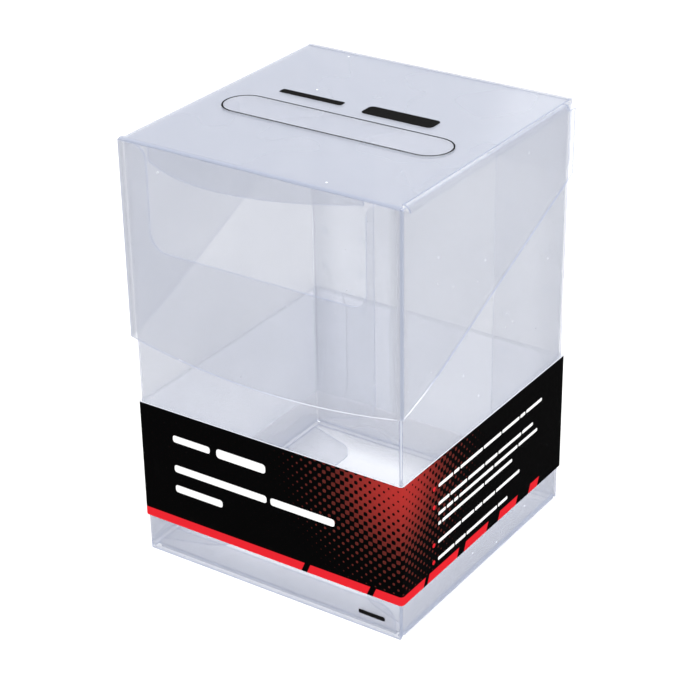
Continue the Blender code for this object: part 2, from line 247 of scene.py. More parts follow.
# ---- finishes -----------------------------------------------------------------------------
@dataclass(frozen=True)
class ClearSheet:
    """Soft clear sheet: a faint blue cast, patchy haze, slow ripples, folds darkened with painted shade, a
    painted highlight and small scuffs.

    Only a ray from the camera meets the haze. Every other ray goes through, less a little shade, so
    the lamps light the inside as they do through the real sheet.
    """

    name: str = "clear_plastic"
    tint: Colour = (0.985, 0.988, 0.995)
    shade: Colour = (0.994, 0.994, 0.996)
    haze: Colour = (0.345, 0.361, 0.412)
    # darker blue that the painted fold number mixes in: partly a fold's own line, partly painted shade
    crease_shade: Colour = (0.24, 0.28, 0.39)
    # pale colour of the scuffs and of the painted highlight
    scuff_and_highlight: Colour = (0.95, 0.96, 1.0)
    opacity: float = 0.235
    most_opaque: float = 0.9
    patchiness: float = 0.035
    patch_scale: float = 24.0
    patch_span: Pair = (0.38, 0.68)
    crease_shade_opacity: float = 0.46
    shine_opacity: float = 0.35
    gloss: float = 0.16
    gloss_blend: float = 0.22
    roughness: float = 0.12
    scuff_share: float = 0.045  # of the cells that hold a scuff
    scuff_scale: float = 230.0
    scuff_span: Pair = (0.10, 0.05)  # from a scuff's rim to where it is strongest
    scuff_opacity: float = 0.24
    ripple_scale: float = 30.0
    ripple: Pair = (0.12, 0.0006)  # strength and height

    def scuffs(self, g: Graph) -> Socket:
        """The scuffs, each a round spot in one of a few picked cells.

        Args:
            g: the material's graph.

        Returns:
            Their strength.
        """
        cells = g.add("TexVoronoi", {"Vector": g.place(), "Scale": self.scuff_scale}).outputs
        pick = g.add("SeparateColor", {"Color": cells["Color"]}).outputs[0]
        return g.product(g.span(cells["Distance"], *self.scuff_span),
                         g.math("LESS_THAN", pick, self.scuff_share))

    def paint(self) -> bpy.types.Material:
        """Makes the material.

        The opacity is the haze times the painted veil, plus the painted fold (partly a fold's own line,
        partly painted shade), the painted shine (a painted highlight), the gloss of a grazing look and the
        scuffs, each times its own number.

        Returns:
            The material.
        """
        g = Graph(self.name)
        patch = g.span(g.noise(self.patch_scale), *self.patch_span)
        fold, shine, spot = g.painted("fold"), g.painted("shine"), self.scuffs(g)
        rim = g.add("LayerWeight", {"Blend": self.gloss_blend}).outputs["Fresnel"]
        haze = g.math("MULTIPLY_ADD", patch, self.patchiness, self.opacity)
        opacity = g.math("MINIMUM", g.total(
            g.product(haze, g.painted("veil")),
            g.product(fold, self.crease_shade_opacity),
            g.product(shine, self.shine_opacity),
            g.product(rim, self.gloss),
            g.product(spot, self.scuff_opacity),
        ), self.most_opaque)
        # painted shade: the fold number turns the haze towards the darker crease blue
        colour = g.mix(fold, self.haze, self.crease_shade)
        surface = g.shader(
            # painted highlight: the shine number, like the scuffs, turns the colour pale
            Base_Color=g.mix(g.math("MINIMUM", g.total(shine, spot), 1.0), colour, self.scuff_and_highlight),
            Roughness=self.roughness,
            IOR=PLASTIC_IOR,
            Normal=g.bump(g.noise(self.ripple_scale, 0.0), *self.ripple),
        )
        seen = g.between(opacity, g.clear(self.tint), surface)
        looked_at = g.add("LightPath").outputs["Is Camera Ray"]
        return g.finish(g.between(looked_at, g.clear(self.shade), seen))


@dataclass(frozen=True)
class CutEdge:
    """Cut edge of the clear sheet: blue-grey, with a painted highlight that turns it bright towards the
    right, within one stretch of height.
    """

    name: str = "cut_plastic_edge"
    dull: Colour = (0.26, 0.31, 0.46)
    edge_highlight: Colour = (0.80, 0.82, 0.87)
    turn: Pair = (-0.012, 0.020)  # x from dull to the painted highlight
    wander_scale: float = 60.0
    wander: float = 0.02  # how far that turn wanders
    level: Pair = (0.074, 0.005)  # middle and half height of the stretch that carries the painted highlight
    level_ease: float = 0.004
    opacity: Pair = (0.50, 0.62)
    roughness: float = 0.28
    grain_scale: float = 1500.0
    grain: Pair = (0.3, 0.00004)  # strength and height

    def paint(self) -> bpy.types.Material:
        """Makes the material.

        The share of the painted highlight is a smooth step along x, less outside the stretch of heights.

        Returns:
            The material.
        """
        g = Graph(self.name)
        place = g.add("SeparateXYZ", {"Vector": g.place()}).outputs
        middle, half = self.level
        wander = g.product(g.less(g.noise(self.wander_scale), 0.5), self.wander)
        away = g.math("ABSOLUTE", g.less(place["Z"], middle))
        # painted highlight: the share of the bright colour
        share = g.product(g.span(g.total(place["X"], wander), *self.turn),
                          g.span(away, half + self.level_ease, half))
        surface = g.shader(
            Base_Color=g.mix(share, self.dull, self.edge_highlight),
            Roughness=self.roughness,
            IOR=PLASTIC_IOR,
            Normal=g.bump(g.noise(self.grain_scale, 3.0), *self.grain),
        )
        return g.finish(g.between(g.span(share, 0.0, 1.0, *self.opacity), g.clear(), surface))


@dataclass(frozen=True)
class FrostedFilm:
    """Thin matt film that takes a pen, a little cloudy."""

    name: str = "matt_film"
    colour: Colour = (0.44, 0.46, 0.53)
    pale: Colour = (0.55, 0.57, 0.63)
    cloud_scale: float = 70.0
    cloud_span: Pair = (0.35, 0.7)
    opacity: Pair = (0.10, 0.24)
    roughness: float = 0.55
    grain_scale: float = 2600.0
    grain: Pair = (0.4, 0.00003)  # strength and height

    def paint(self) -> bpy.types.Material:
        """Makes the material, whose colour and opacity follow one noise.

        Returns:
            The material.
        """
        g = Graph(self.name)
        cloud = g.noise(self.cloud_scale, 3.0)
        surface = g.shader(
            Base_Color=g.mix(cloud, self.colour, self.pale),
            Roughness=self.roughness,
            Normal=g.bump(g.noise(self.grain_scale), *self.grain),
        )
        return g.finish(g.between(g.span(cloud, *self.cloud_span, *self.opacity), g.clear(), surface))


@dataclass(frozen=True)
class CardStock:
    """Bare card: white, matt and faintly mottled."""

    name: str = "bare_card"
    light: Colour = (0.94, 0.95, 0.97)
    dark: Colour = (0.89, 0.90, 0.93)
    fibre_scale: float = 1400.0
    fibre_stretch: Triple = (1.0, 1.0, 0.35)
    fibre: Pair = (0.25, 0.00004)  # strength and height
    mottle_scale: float = 55.0
    mottle_span: Pair = (0.35, 0.65)
    roughness: float = 0.72

    def paint(self) -> bpy.types.Material:
        """Makes the material, mottled by the mean of fine fibres and broad blots.

        Returns:
            The material.
        """
        g = Graph(self.name)
        fibre = g.noise(self.fibre_scale, 3.0, self.fibre_stretch)
        mottle = g.total(g.product(fibre, 0.5), g.product(g.noise(self.mottle_scale), 0.5))
        return g.finish(g.shader(
            Base_Color=g.mix(g.span(mottle, *self.mottle_span), self.dark, self.light),
            Roughness=self.roughness,
            Normal=g.bump(fibre, *self.fibre),
        ))


@dataclass(frozen=True)
class Ink:
    """One solid ink, a little uneven in gloss and depth."""

    name: str
    colour: Colour
    deep: float = 0.86  # share of the colour where the ink lies thick
    grain_scale: float = 900.0
    grain_span: Pair = (0.3, 0.7)
    roughness: Pair = (0.35, 0.49)

    def paint(self) -> bpy.types.Material:
        """Makes the material, whose colour and gloss follow one grain.

        Returns:
            The material.
        """
        g = Graph(self.name)
        grain = g.noise(self.grain_scale, 3.0)
        deep = tuple(self.deep * part for part in self.colour)
        return g.finish(g.shader(
            Base_Color=g.mix(grain, self.colour, deep),
            Roughness=g.span(grain, *self.grain_span, *self.roughness),
            Specular_IOR_Level=PRINT_SHEEN,
        ))


@dataclass(frozen=True)
class BandPrint:
    """Black print with a red dotted glow round the near top corner and a broken red line below.

    The print map runs in metres: across from the front's left corner, and up from the band's lower edge.
    """

    name: str = "printed_card"
    black: Colour = (0.0015, 0.0015, 0.0016)
    stripe: Colour = (0.64, 0.016, 0.024)
    glow: Colour = (0.36, 0.026, 0.023)
    ember: Colour = (0.085, 0.016, 0.013)
    corner: Pair = (0.0974, 0.0412)  # the middle of the glow
    reach: float = 0.049
    pitch: float = 0.0023
    level: Pair = (0.93, -0.04)  # of the hills that are red, at the corner and at the glow's end
    dot_blur: float = 0.07
    bright_reach: float = 0.56  # share of the reach over which the red turns dark
    line_top: float = 0.0031
    line_blur: float = 0.00012
    line_clear: Pair = (0.0004, 0.0008)  # above the line, where the dots begin
    slant: float = 0.42
    gaps: tuple[Pair, ...] = (
        (0.0606, 0.0627), (0.0845, 0.0866), (0.1085, 0.1107), (0.1280, 0.1321),
        (0.1458, 0.1531), (0.1644, 0.1726), (0.1784, 0.2040),
    )
    grain_scale: float = 700.0
    grain_span: Pair = (0.3, 0.7)
    roughness: Pair = (0.48, 0.62)
    wave_scale: float = 45.0
    wave: Pair = (0.2, 0.0004)  # strength and height

    def line(self, g: Graph, across: Socket, up: Socket) -> Socket:
        """The red line.

        Args:
            g: the material's graph.
            across: the print map's first number.
            up: its second number.

        Returns:
            Its share: 1 below line_top, except in the slanted gaps.
        """
        lean = g.less(across, g.product(up, self.slant))
        share = g.span(up, self.line_top + self.line_blur, self.line_top - self.line_blur)
        for first, last in self.gaps:
            middle, half = (first + last) / 2, (last - first) / 2
            away = g.math("ABSOLUTE", g.less(lean, middle))
            share = g.product(share, g.span(away, half - self.line_blur, half + self.line_blur))
        return share

    def dots(self, g: Graph, across: Socket, up: Socket) -> tuple[Socket, Socket]:
        """The dotted glow.

        A wave along each diagonal gives a hill in every cell of the grid. The ink is red where the hill
        is lower than a level that falls with the distance from the corner, so black dots grow until
        they join, and then red dots shrink to nothing.

        Args:
            g: the material's graph.
            across: the print map's first number.
            up: its second number.

        Returns:
            The share of red, and its strength.
        """
        side, drop = g.less(across, self.corner[0]), g.less(up, self.corner[1])
        squares = [g.math("POWER", g.math("ABSOLUTE", part), 2.0) for part in (side, drop)]
        far = g.math("SQRT", g.total(*squares))
        turn = 2.0 * math.pi / self.pitch * math.sqrt(0.5)
        waves = [g.math("COSINE", g.product(g.math(way, side, drop), turn)) for way in ("ADD", "SUBTRACT")]
        hill = g.math("MULTIPLY_ADD", g.total(*waves), 0.25, 0.5)
        level = g.span(far, 0.0, self.reach, *self.level)
        share = g.span(g.less(level, hill), -self.dot_blur, self.dot_blur)
        above = g.span(up, *(self.line_top + clear for clear in self.line_clear))
        return g.product(share, above), g.span(far, 0.0, self.reach * self.bright_reach, 1.0, 0.0)

    def paint(self) -> bpy.types.Material:
        """Makes the material: the black ground, then the glow and the line over it.

        Returns:
            The material.
        """
        g = Graph(self.name)
        chart = g.add("SeparateXYZ", {"Vector": g.add("UVMap", uv_map=PRINT_MAP).outputs[0]}).outputs
        across, up = chart["X"], chart["Y"]
        red, strength = self.dots(g, across, up)
        colour = g.mix(red, self.black, g.mix(strength, self.ember, self.glow))
        return g.finish(g.shader(
            Base_Color=g.mix(self.line(g, across, up), colour, self.stripe),
            Roughness=g.span(g.noise(self.grain_scale, 3.0), *self.grain_span, *self.roughness),
            Specular_IOR_Level=PRINT_SHEEN,
            Normal=g.bump(g.noise(self.wave_scale, 1.0), *self.wave),
        ))


class Finish(Enum):
    """The finishes of the box's pieces."""

    CLEAR = ClearSheet()
    WELD = ClearSheet("pressed_weld", opacity=0.01, patchiness=0.0, crease_shade_opacity=0.16, gloss=0.05)
    EDGE = CutEdge()
    FILM = FrostedFilm()
    CARD = CardStock()
    CORE = CardStock("card_edge", (0.56, 0.58, 0.64), (0.48, 0.50, 0.56))
    PRINT = BandPrint()
    BLACK = Ink("black_ink", (0.008, 0.008, 0.008))
    WHITE = Ink("white_ink", (0.88, 0.88, 0.88))
    RED = Ink("red_ink", (0.64, 0.016, 0.024))

    def material(self) -> bpy.types.Material:
        """The finish's material, made at its first use."""
        return bpy.data.materials.get(self.value.name) or self.value.paint()


# ---- surfaces -----------------------------------------------------------------------------
@dataclass
class Patch:
    """A grid of points, (rows, columns, 3), with what is painted on it.

    Columns run to the right and rows up when the patch is seen from its outer side.
    """

    points: Array
    # fold: the darker crease blue, partly a fold's own line and partly painted shade; shine: a painted
    # highlight; veil: the haze's strength, which also carries painted shade and painted light
    fold: Array | float = 0.0
    shine: Array | float = 0.0
    veil: Array | float = 1.0
    chart: Array | None = None

    def spread(self, painted: Array | float) -> Array:
        """What is painted, as one number for each point."""
        return np.broadcast_to(painted, self.points.shape[:2]).ravel()

    def quads(self, start: int) -> Array:
        """The grid's faces.

        Args:
            start: the number of its first point.

        Returns:
            The four corner numbers of each.
        """
        rows, columns = self.points.shape[:2]
        index = start + np.arange(rows * columns).reshape(rows, columns)
        corners = (index[:-1, :-1], index[:-1, 1:], index[1:, 1:], index[1:, :-1])
        return np.stack(corners, axis=-1).reshape(-1, 4)


def grid(x: object, y: object, z: object) -> Array:
    """Points of a grid from three arrays that broadcast to (rows, columns)."""
    return np.stack(np.broadcast_arrays(*(np.asarray(part, float) for part in (x, y, z))), axis=-1)


def surface(name: str, patches: Sequence[Patch]) -> bpy.types.Object:
    """Joins patches into one mesh, with the points on shared borders made one.

    Args:
        name: the piece's name.
        patches: grids that meet along equal points.

    Returns:
        The new piece, without a finish.
    """
    points = np.concatenate([patch.points.reshape(-1, 3) for patch in patches])
    starts = np.cumsum([0] + [patch.points[..., 0].size for patch in patches])
    quads = np.concatenate([patch.quads(start) for patch, start in zip(patches, starts)])
    mesh = bpy.data.meshes.new(name)
    mesh.from_pydata(points, [], quads)
    for word in ("fold", "shine", "veil"):
        values = np.concatenate([patch.spread(getattr(patch, word)) for patch in patches])
        layer = mesh.attributes.new(word, "FLOAT", "POINT")
        layer.data.foreach_set("value", values.astype(np.float32))
    if patches[0].chart is not None:
        chart = np.concatenate([patch.chart.reshape(-1, 2) for patch in patches])
        layer = mesh.uv_layers.new(name=PRINT_MAP)
        layer.data.foreach_set("uv", chart[quads.ravel()].astype(np.float32).ravel())
    shape = bmesh.new()
    shape.from_mesh(mesh)
    bmesh.ops.remove_doubles(shape, verts=shape.verts, dist=WELD)
    shape.to_mesh(mesh)
    shape.free()
    made = bpy.data.objects.new(name, mesh)
    bpy.context.scene.collection.objects.link(made)
    return made


def thicken(piece: bpy.types.Object, thickness: float, inner: int = 0, rim: int = 1) -> None:
    """Gives an open sheet its thickness on its inner side.

    Args:
        piece: the sheet, whose faces point outwards.
        thickness: in metres.
        inner: how many material slots further on the inner side's finish is.
        rim: the same for the cut edges.
    """
    wall = piece.modifiers.new("thickness", "SOLIDIFY")
    wall.thickness = thickness
    wall.offset = -1.0
    wall.use_even_offset = True
    wall.material_offset = inner
    wall.material_offset_rim = rim
    graph = bpy.context.evaluated_depsgraph_get()
    mesh = bpy.data.meshes.new_from_object(piece.evaluated_get(graph))
    piece.modifiers.clear()
    old, piece.data = piece.data, mesh
    bpy.data.meshes.remove(old)
    mesh.name = piece.name


def sheet(name: str, patches: Sequence[Patch], finishes: Sequence[Finish] = (Finish.CLEAR, Finish.EDGE),
          thickness: float = SHEET, inner: int = 0, rim: int = 1) -> bpy.types.Object:
    """A finished sheet from its outer side's patches.

    Args:
        name: the piece's name.
        patches: the outer side.
        finishes: its material slots.
        thickness: in metres.
        inner: the inner side's slot.
        rim: the cut edges' slot.

    Returns:
        The piece.
    """
    piece = surface(name, patches)
    for finish in finishes:
        piece.data.materials.append(finish.material())
    thicken(piece, thickness, inner, rim)
    piece.data.shade_smooth()
    piece.data.set_sharp_from_angle(angle=SHARP)
    return piece


def stand_for(piece: bpy.types.Object, body: str, slot: str, *nodes: str) -> None:
    """Lets a piece ride on a body, and reports it.

    Args:
        piece: the piece.
        body: what it moves with.
        slot: not used.
        nodes: what it stands in for.
    """
    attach(piece, body)
    if nodes:
        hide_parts(*nodes)
    LOG.info("%s on %s: %d faces", piece.name, body, len(piece.data.polygons))


def held(value: Array) -> Array:
    """The value, held between 0 and 1."""
    return np.clip(value, 0.0, 1.0)


def smooth(value: Array) -> Array:
    """The value held between 0 and 1, on a curve that is level at both ends."""
    share = held(value)
    return share * share * (3 - 2 * share)


def round_off(distance: Array, radius: float) -> Array:
    """How far a rounded corner draws an edge back, at a distance from the edge that it meets."""
    inside = np.clip(radius - distance, 0.0, radius)
    return radius - np.sqrt(radius**2 - inside**2)


def arc(steps: int, turn: float = math.pi / 2) -> Array:
    """Equal angles from 0 to turn."""
    return np.linspace(0.0, turn, steps + 1)


class BentPath:
    """A level path of straight runs joined by round folds, measured along its length."""

    SAMPLES = 24

    def __init__(self, corners: Sequence[Sequence[float]], radius: float,
                 strengths: Sequence[float] = (1.0,) * 8) -> None:
        """Lays the path out.

        Each corner becomes an arc: its centre plus the start's offset times the cosine of the angle
        turned, plus the way of travel times the radius and the sine of that angle.

        Args:
            corners: (x, y) of the path's two ends and of its sharp corners.
            radius: of every fold.
            strengths: how strong each fold's mark is.
        """
        self.strengths = strengths
        line = np.asarray(corners, float)
        points, marks = [line[:1]], []
        for before, here, after in zip(line[:-2], line[1:-1], line[2:]):
            back = (before - here) / np.linalg.norm(before - here)
            on = (after - here) / np.linalg.norm(after - here)
            half = math.acos(float(np.clip(back @ on, -1.0, 1.0))) / 2
            centre = here + (back + on) / np.linalg.norm(back + on) * radius / math.sin(half)
            start = here + back * radius / math.tan(half)
            angle = arc(self.SAMPLES, math.pi - 2 * half)[:, None]
            marks.append(sum(len(part) for part in points))
            points.append(centre + (start - centre) * np.cos(angle) - back * radius * np.sin(angle))
        points.append(line[-1:])
        self.points = np.concatenate(points)
        steps = np.linalg.norm(np.diff(self.points, axis=0), axis=1)
        self.lengths = np.concatenate([[0.0], np.cumsum(steps)])
        self.folds = [(self.lengths[i], self.lengths[i + self.SAMPLES]) for i in marks]

    @property
    def length(self) -> float:
        """The whole length."""
        return float(self.lengths[-1])

    def at(self, along: Array) -> tuple[Array, Array]:
        """x and y at lengths along the path."""
        return np.interp(along, self.lengths, self.points[:, 0]), np.interp(
            along, self.lengths, self.points[:, 1])

    def fold(self, along: Array) -> Array:
        """Marks of the folds.

        Args:
            along: lengths along the path.

        Returns:
            Each fold's strength inside it, falling to 0 a little way into the flat runs.
        """
        marks = []
        for strength, (low, high) in zip(self.strengths, self.folds):
            away = np.maximum(np.maximum(low - along, along - high), 0.0)
            marks.append(strength * held(1.0 - away / FADE))
        return np.max(marks, axis=0)

    def stops(self, first: float, last: float, step: float = 0.008, extra: Sequence[float] = ()) -> Array:
        """Lengths for a patch's columns, dense in folds.

        Args:
            first: the length to start at.
            last: the length to end at.
            step: about how far apart they are on the flat runs.
            extra: lengths that have to be among them.

        Returns:
            The lengths.
        """
        knots = [first, last, *extra]
        for low, high in self.folds:
            knots += [low - FADE, *np.linspace(low, high, 7), high + FADE]
        knots = np.unique(np.round([k for k in knots if first - 1e-9 <= k <= last + 1e-9], 9))
        runs = [np.linspace(a, b, max(1, round((b - a) / step)) + 1)[:-1] for a, b in zip(knots, knots[1:])]
        return np.concatenate([*runs, knots[-1:]])


def quarter(start: Sequence[float], corner: Sequence[float], end: Sequence[float]) -> Array:
    """Quarter round, with both its ends.

    It is start plus end less corner, plus the way from corner to end times the cosine of the angle,
    plus the way from start to corner times its sine.

    Args:
        start: where it starts.
        corner: where the tangents at its ends meet.
        end: where it ends.

    Returns:
        The points.
    """
    a, c, b = (np.asarray(part, float) for part in (start, corner, end))
    angle = arc(6)[:, None]
    return a + b - c + (c - b) * np.cos(angle) + (c - a) * np.sin(angle)


def living_hinge(name: str, axis: str, corner: Pair, ways: tuple[int, int, int], ends: Pair,
                 bend: float, land: float) -> bpy.types.Object:
    """Narrow fold: a flat land, a quarter round and a flat land, carried along a straight line.

    Args:
        name: the piece's name.
        axis: "x" or "y", the line that it runs along.
        corner: where its two outer sides would meet, the other level coordinate and z.
        ways: 1 or -1 for the upright land's and the level land's directions, and -1 to start level.
        ends: of the line, in the order that puts the outer side outwards.
        bend: radius of the quarter round.
        land: width of each flat land.

    Returns:
        The piece.
    """
    level, z = corner
    whole = bend + land
    turn = quarter((level, z + ways[0] * bend), corner, (level + ways[1] * bend, z))
    profile = np.concatenate([[(level, z + ways[0] * whole)], turn, [(level + ways[1] * whole, z)]])
    # painted fold line: partly the fold's own line, partly painted shade
    mark = np.array([0.1, *[0.4] * len(turn), 0.1])[:, None]
    line = np.linspace(*ends, 13)
    other, height = np.split(profile[::ways[2]], 2, axis=1)
    points = grid(line, other, height) if axis == "x" else grid(other, line, height)
    piece = sheet(name, [Patch(points, fold=mark)])
    return piece


# ---- body ---------------------------------------------------------------------------------
@dataclass
class Body:
    """The folded body: one sheet round four folds, the back wall, its weld marks and the weld strip."""

    fold_radius: float = 0.0007
    notch_radius: float = 0.0056
    ear_radius: float = 0.0045
    notch_left: float = -0.0400
    notch_right: float = 0.0366
    notch_bottom: float = 0.1074
    flap_inset: float = 0.0020
    flap_taper: float = 0.0080
    flap_radius: float = 0.0040
    side_foot: float = 0.0016  # where a side wall turns into its dust flap
    back_foot: float = 0.0009  # where the back wall turns into the floor panel
    strip_radius: float = 0.0040
    strip_top: float = 0.1402  # where the weld strip turns into the lid's hinge
    # strength of each upright fold's painted line: partly the fold's own line, partly painted shade
    fold_marks: tuple[float, ...] = (0.15, 0.45, 0.8, 0.25)
    # painted shade that darkens a wall towards its foot: its strength and its height
    foot_shade_strength: float = 0.30
    foot_shade_height: float = 0.0240
    foot_line: float = 0.0012  # height of the bottom fold's own line
    foot_line_depth: float = 0.35
    left_foot_shade: float = 0.5  # how much stronger the painted shade is at the left wall's foot
    back_foot_shade: float = 1.5  # times the painted shade at the foot, for the back wall
    # haze in the open, and where the band lies behind, painted thinner there as painted light
    open_veil: float = 0.95
    covered_veil: float = 0.55
    left_extra: float = 0.60  # how much hazier the left wall is
    front_less: float = 0.28  # how much clearer the front wall is
    back_veil: float = 1.4
    flap_veil: float = 0.35
    strip_veil: float = 0.4
    shine_low: float = 0.0560  # the painted highlight on the near fold starts above this, where the band ends
    mark_rows: int = 6
    mark_pitch: float = 0.0131
    mark_margin: float = 0.0045
    mark_drop: float = 0.0256

    def __post_init__(self) -> None:
        """Reads the walls' places from the frame."""
        (self.left, self.front, _), (self.right, _, self.top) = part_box("front_wall")
        self.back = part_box("back_wall")[1].y
        low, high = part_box("back_left_weld_flap")
        self.flap_back, self.flap_inner = high.y, high.x
        self.flap_face = low.y
        self.covered = np.array([corner.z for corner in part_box("band_front_panel")])
        self.lid_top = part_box("lid_top_panel")[1].z
        self.path = BentPath(
            [(self.flap_inner, self.flap_back), (self.left, self.flap_back), (self.left, self.front),
             (self.right, self.front), (self.right, self.flap_back), (-self.flap_inner, self.flap_back)],
            self.fold_radius, self.fold_marks,
        )

    def rows(self) -> Array:
        """Heights of the rows: even below the notch, dense in its round corners, and at a flap's ends.

        Returns:
            The heights.
        """
        bottom, top = self.notch_bottom, self.top
        bend = arc(6)
        return np.unique(np.round(np.concatenate([
            np.linspace(self.flap_inset, bottom, 13),
            [0.0, self.shine_low - EASE / 2, self.shine_low + EASE / 2],
            self.covered, self.covered + (EASE, -EASE),
            bottom + self.notch_radius * (1 - np.cos(bend)),
            np.linspace(bottom + self.notch_radius, top - self.ear_radius, 4),
            top - self.ear_radius * (1 - np.sin(bend)),
            [top - self.flap_inset],
        ]), 9))

    def wall(self, columns: Array, rows: Array) -> Patch:
        """Full-height wall. Between its dust flap's ends a side wall stops at its fold.

        The fold paint is the larger of the upright folds' marks and the painted shade at the foot. The
        left wall is hazier and the front wall is clearer than the rest.

        Args:
            columns: lengths along the path.
            rows: heights.

        Returns:
            The patch.
        """
        x, y = self.path.at(columns)
        turned = held(np.minimum(y - self.front, self.flap_back - y) / self.fold_radius)
        z = np.maximum(rows[:, None], self.side_foot * turned)
        left = held((y - self.front) / EASE) * (x < 0.0)
        front = held(1.0 - (y - self.front) / EASE)
        # painted shade at the foot, stronger on the left wall
        foot = self.foot_shade(z) * (1.0 + self.left_foot_shade * left)
        # painted light: the haze thins where the band lies behind the sheet
        veil = self.haze_thinned_by_band(z) * (1.0 + self.left_extra * left - self.front_less * front)
        return Patch(grid(x, y, z), fold=np.maximum(self.path.fold(columns), foot), veil=veil)

    def foot_shade(self, z: Array) -> Array:
        """Painted shade that darkens a wall towards its foot, with the fold's own line at the very end."""
        line = np.clip(1.0 - z / self.foot_line, 0.0, self.foot_line_depth)
        return self.foot_shade_strength * held(1.0 - z / self.foot_shade_height) + line

    def haze_thinned_by_band(self, z: Array) -> Array:
        """Strength of the haze: painted thinner where the band lies behind the sheet, a painted light that
        lets the card show lighter through it.
        """
        kept = held(np.minimum(z - self.covered[0], self.covered[1] - z) / EASE)
        return self.open_veil + (self.covered_veil - self.open_veil) * kept

    def weld_flap(self, columns: Array, rows: Array, inner: float) -> Patch:
        """Flap behind the back wall.

        Its half height is the wall's, less a straight taper towards the inner edge, less the pull
        of the round corner. Its haze grows to the side wall's where it folds into it.

        Args:
            columns: lengths along the path.
            rows: heights at the fold.
            inner: length of the flap's inner edge.

        Returns:
            The patch.
        """
        away = np.abs(columns - inner)
        width = abs(self.flap_inner - self.left)
        middle = (rows[0] + rows[-1]) / 2
        half = (rows[-1] - rows[0]) / 2
        share = held(1.0 - away / (width - self.fold_radius))
        tall = half - self.flap_taper * share - round_off(away, self.flap_radius)
        z = middle + (rows[:, None] - middle) * (tall / half)
        x, y = self.path.at(columns)
        bend = held((away - width + 2 * self.fold_radius) / (EASE / 2))
        veil = self.flap_veil + (self.open_veil * (1.0 + self.left_extra) - self.flap_veil) * bend
        return Patch(grid(x, y, z), fold=self.path.fold(columns), veil=veil)

    def ear(self, fixed: Array, rows: Array, side: int) -> Patch:
        """Ear beside the notch. Its free edge follows the notch's round corner, then its own.

        Args:
            fixed: the columns round the fold, which run straight up.
            rows: heights from the notch's bottom up.
            side: -1 for the left ear and 1 for the right one.

        Returns:
            The patch.
        """
        edge = self.notch_left if side < 0 else self.notch_right
        edge = edge - side * round_off(rows - self.notch_bottom, self.notch_radius)
        edge = edge + side * round_off(self.top - rows, self.ear_radius)
        base = self.path.folds[1][1] + (edge - self.left - self.fold_radius)
        root = fixed[-1] if side < 0 else fixed[0]
        share = np.linspace(0.0, 1.0, 6)[1:]
        free = root + (base - root)[:, None] * (share if side < 0 else share[::-1])
        still = np.broadcast_to(fixed, (len(rows), len(fixed)))
        columns = np.concatenate([still, free] if side < 0 else [free, still], axis=1)
        x, y = self.path.at(columns)
        return Patch(grid(x, y, rows[:, None]), fold=self.path.fold(columns),
                     veil=self.open_veil * (1.0 - self.front_less))

    def shine(self, patch: Patch) -> Patch:
        """Adds a painted highlight: the bright line that runs up the outer half of the near right fold.

        Args:
            patch: of the front wall or its right ear.

        Returns:
            The same patch.
        """
        x, y, z = np.moveaxis(patch.points, -1, 0)
        near = (x > self.right - 0.45 * self.fold_radius) & (y < self.front + 0.3 * self.fold_radius)
        near &= z > self.shine_low
        patch.shine = near * 1.0
        patch.fold = patch.fold * ~near
        return patch

    def sleeve(self) -> bpy.types.Object:
        """The sheet that makes the front and side walls and the two weld flaps.

        Returns:
            The piece.
        """
        path, rows = self.path, self.rows()
        folds = path.folds
        left_end, right_end = folds[1][1] + FADE, folds[2][0] - FADE
        flat = folds[1][1] - self.left - self.fold_radius
        notch = (flat + self.notch_left + self.notch_radius, flat + self.notch_right - self.notch_radius)
        left_fixed = path.stops(folds[1][0], left_end)
        right_fixed = path.stops(right_end, folds[2][1])
        across = np.unique(np.round(np.concatenate([
            left_fixed, np.linspace(left_end, notch[0], 6), np.linspace(*notch, 11),
            np.linspace(notch[1], right_end, 6), right_fixed,
        ]), 9))
        ears = rows[rows >= self.notch_bottom - NEAR]
        lower = rows[rows <= self.notch_bottom + NEAR]
        flap = rows[(rows >= self.flap_inset - NEAR) & (rows <= self.top - self.flap_inset + NEAR)]
        walls = [self.wall(path.stops(first[1], last[0]), rows) for first, last in (folds[:2], folds[2:])]
        edge = self.flap_radius * (1 - np.cos(arc(5)))
        patches = [
            self.weld_flap(path.stops(0.0, folds[0][1], extra=list(edge)), flap, 0.0),
            walls[0],
            self.shine(self.wall(across, lower)),
            self.ear(left_fixed, ears, -1),
            self.shine(self.ear(right_fixed, ears, 1)),
            walls[1],
            self.weld_flap(path.stops(folds[3][0], path.length, extra=list(path.length - edge)), flap,
                           path.length),
        ]
        return sheet("body_sleeve", patches)

    def back_wall(self) -> bpy.types.Object:
        """The plain back wall, from its fold into the floor panel up.

        Returns:
            The piece.
        """
        x = np.linspace(self.right, self.left, 13)
        z = np.unique(np.concatenate([
            [self.back_foot, 2 * self.back_foot], np.linspace(0.006, self.top, 15),
            self.covered, self.covered + (EASE, -EASE),
        ]))[:, None]
        # painted shade at the foot, stronger on the back wall, and haze painted thinner where the band lies
        # behind
        patch = Patch(grid(x, self.back, z), self.back_foot_shade * self.foot_shade(z),
                      veil=self.back_veil * self.haze_thinned_by_band(z))
        return sheet("back_sheet", [patch])

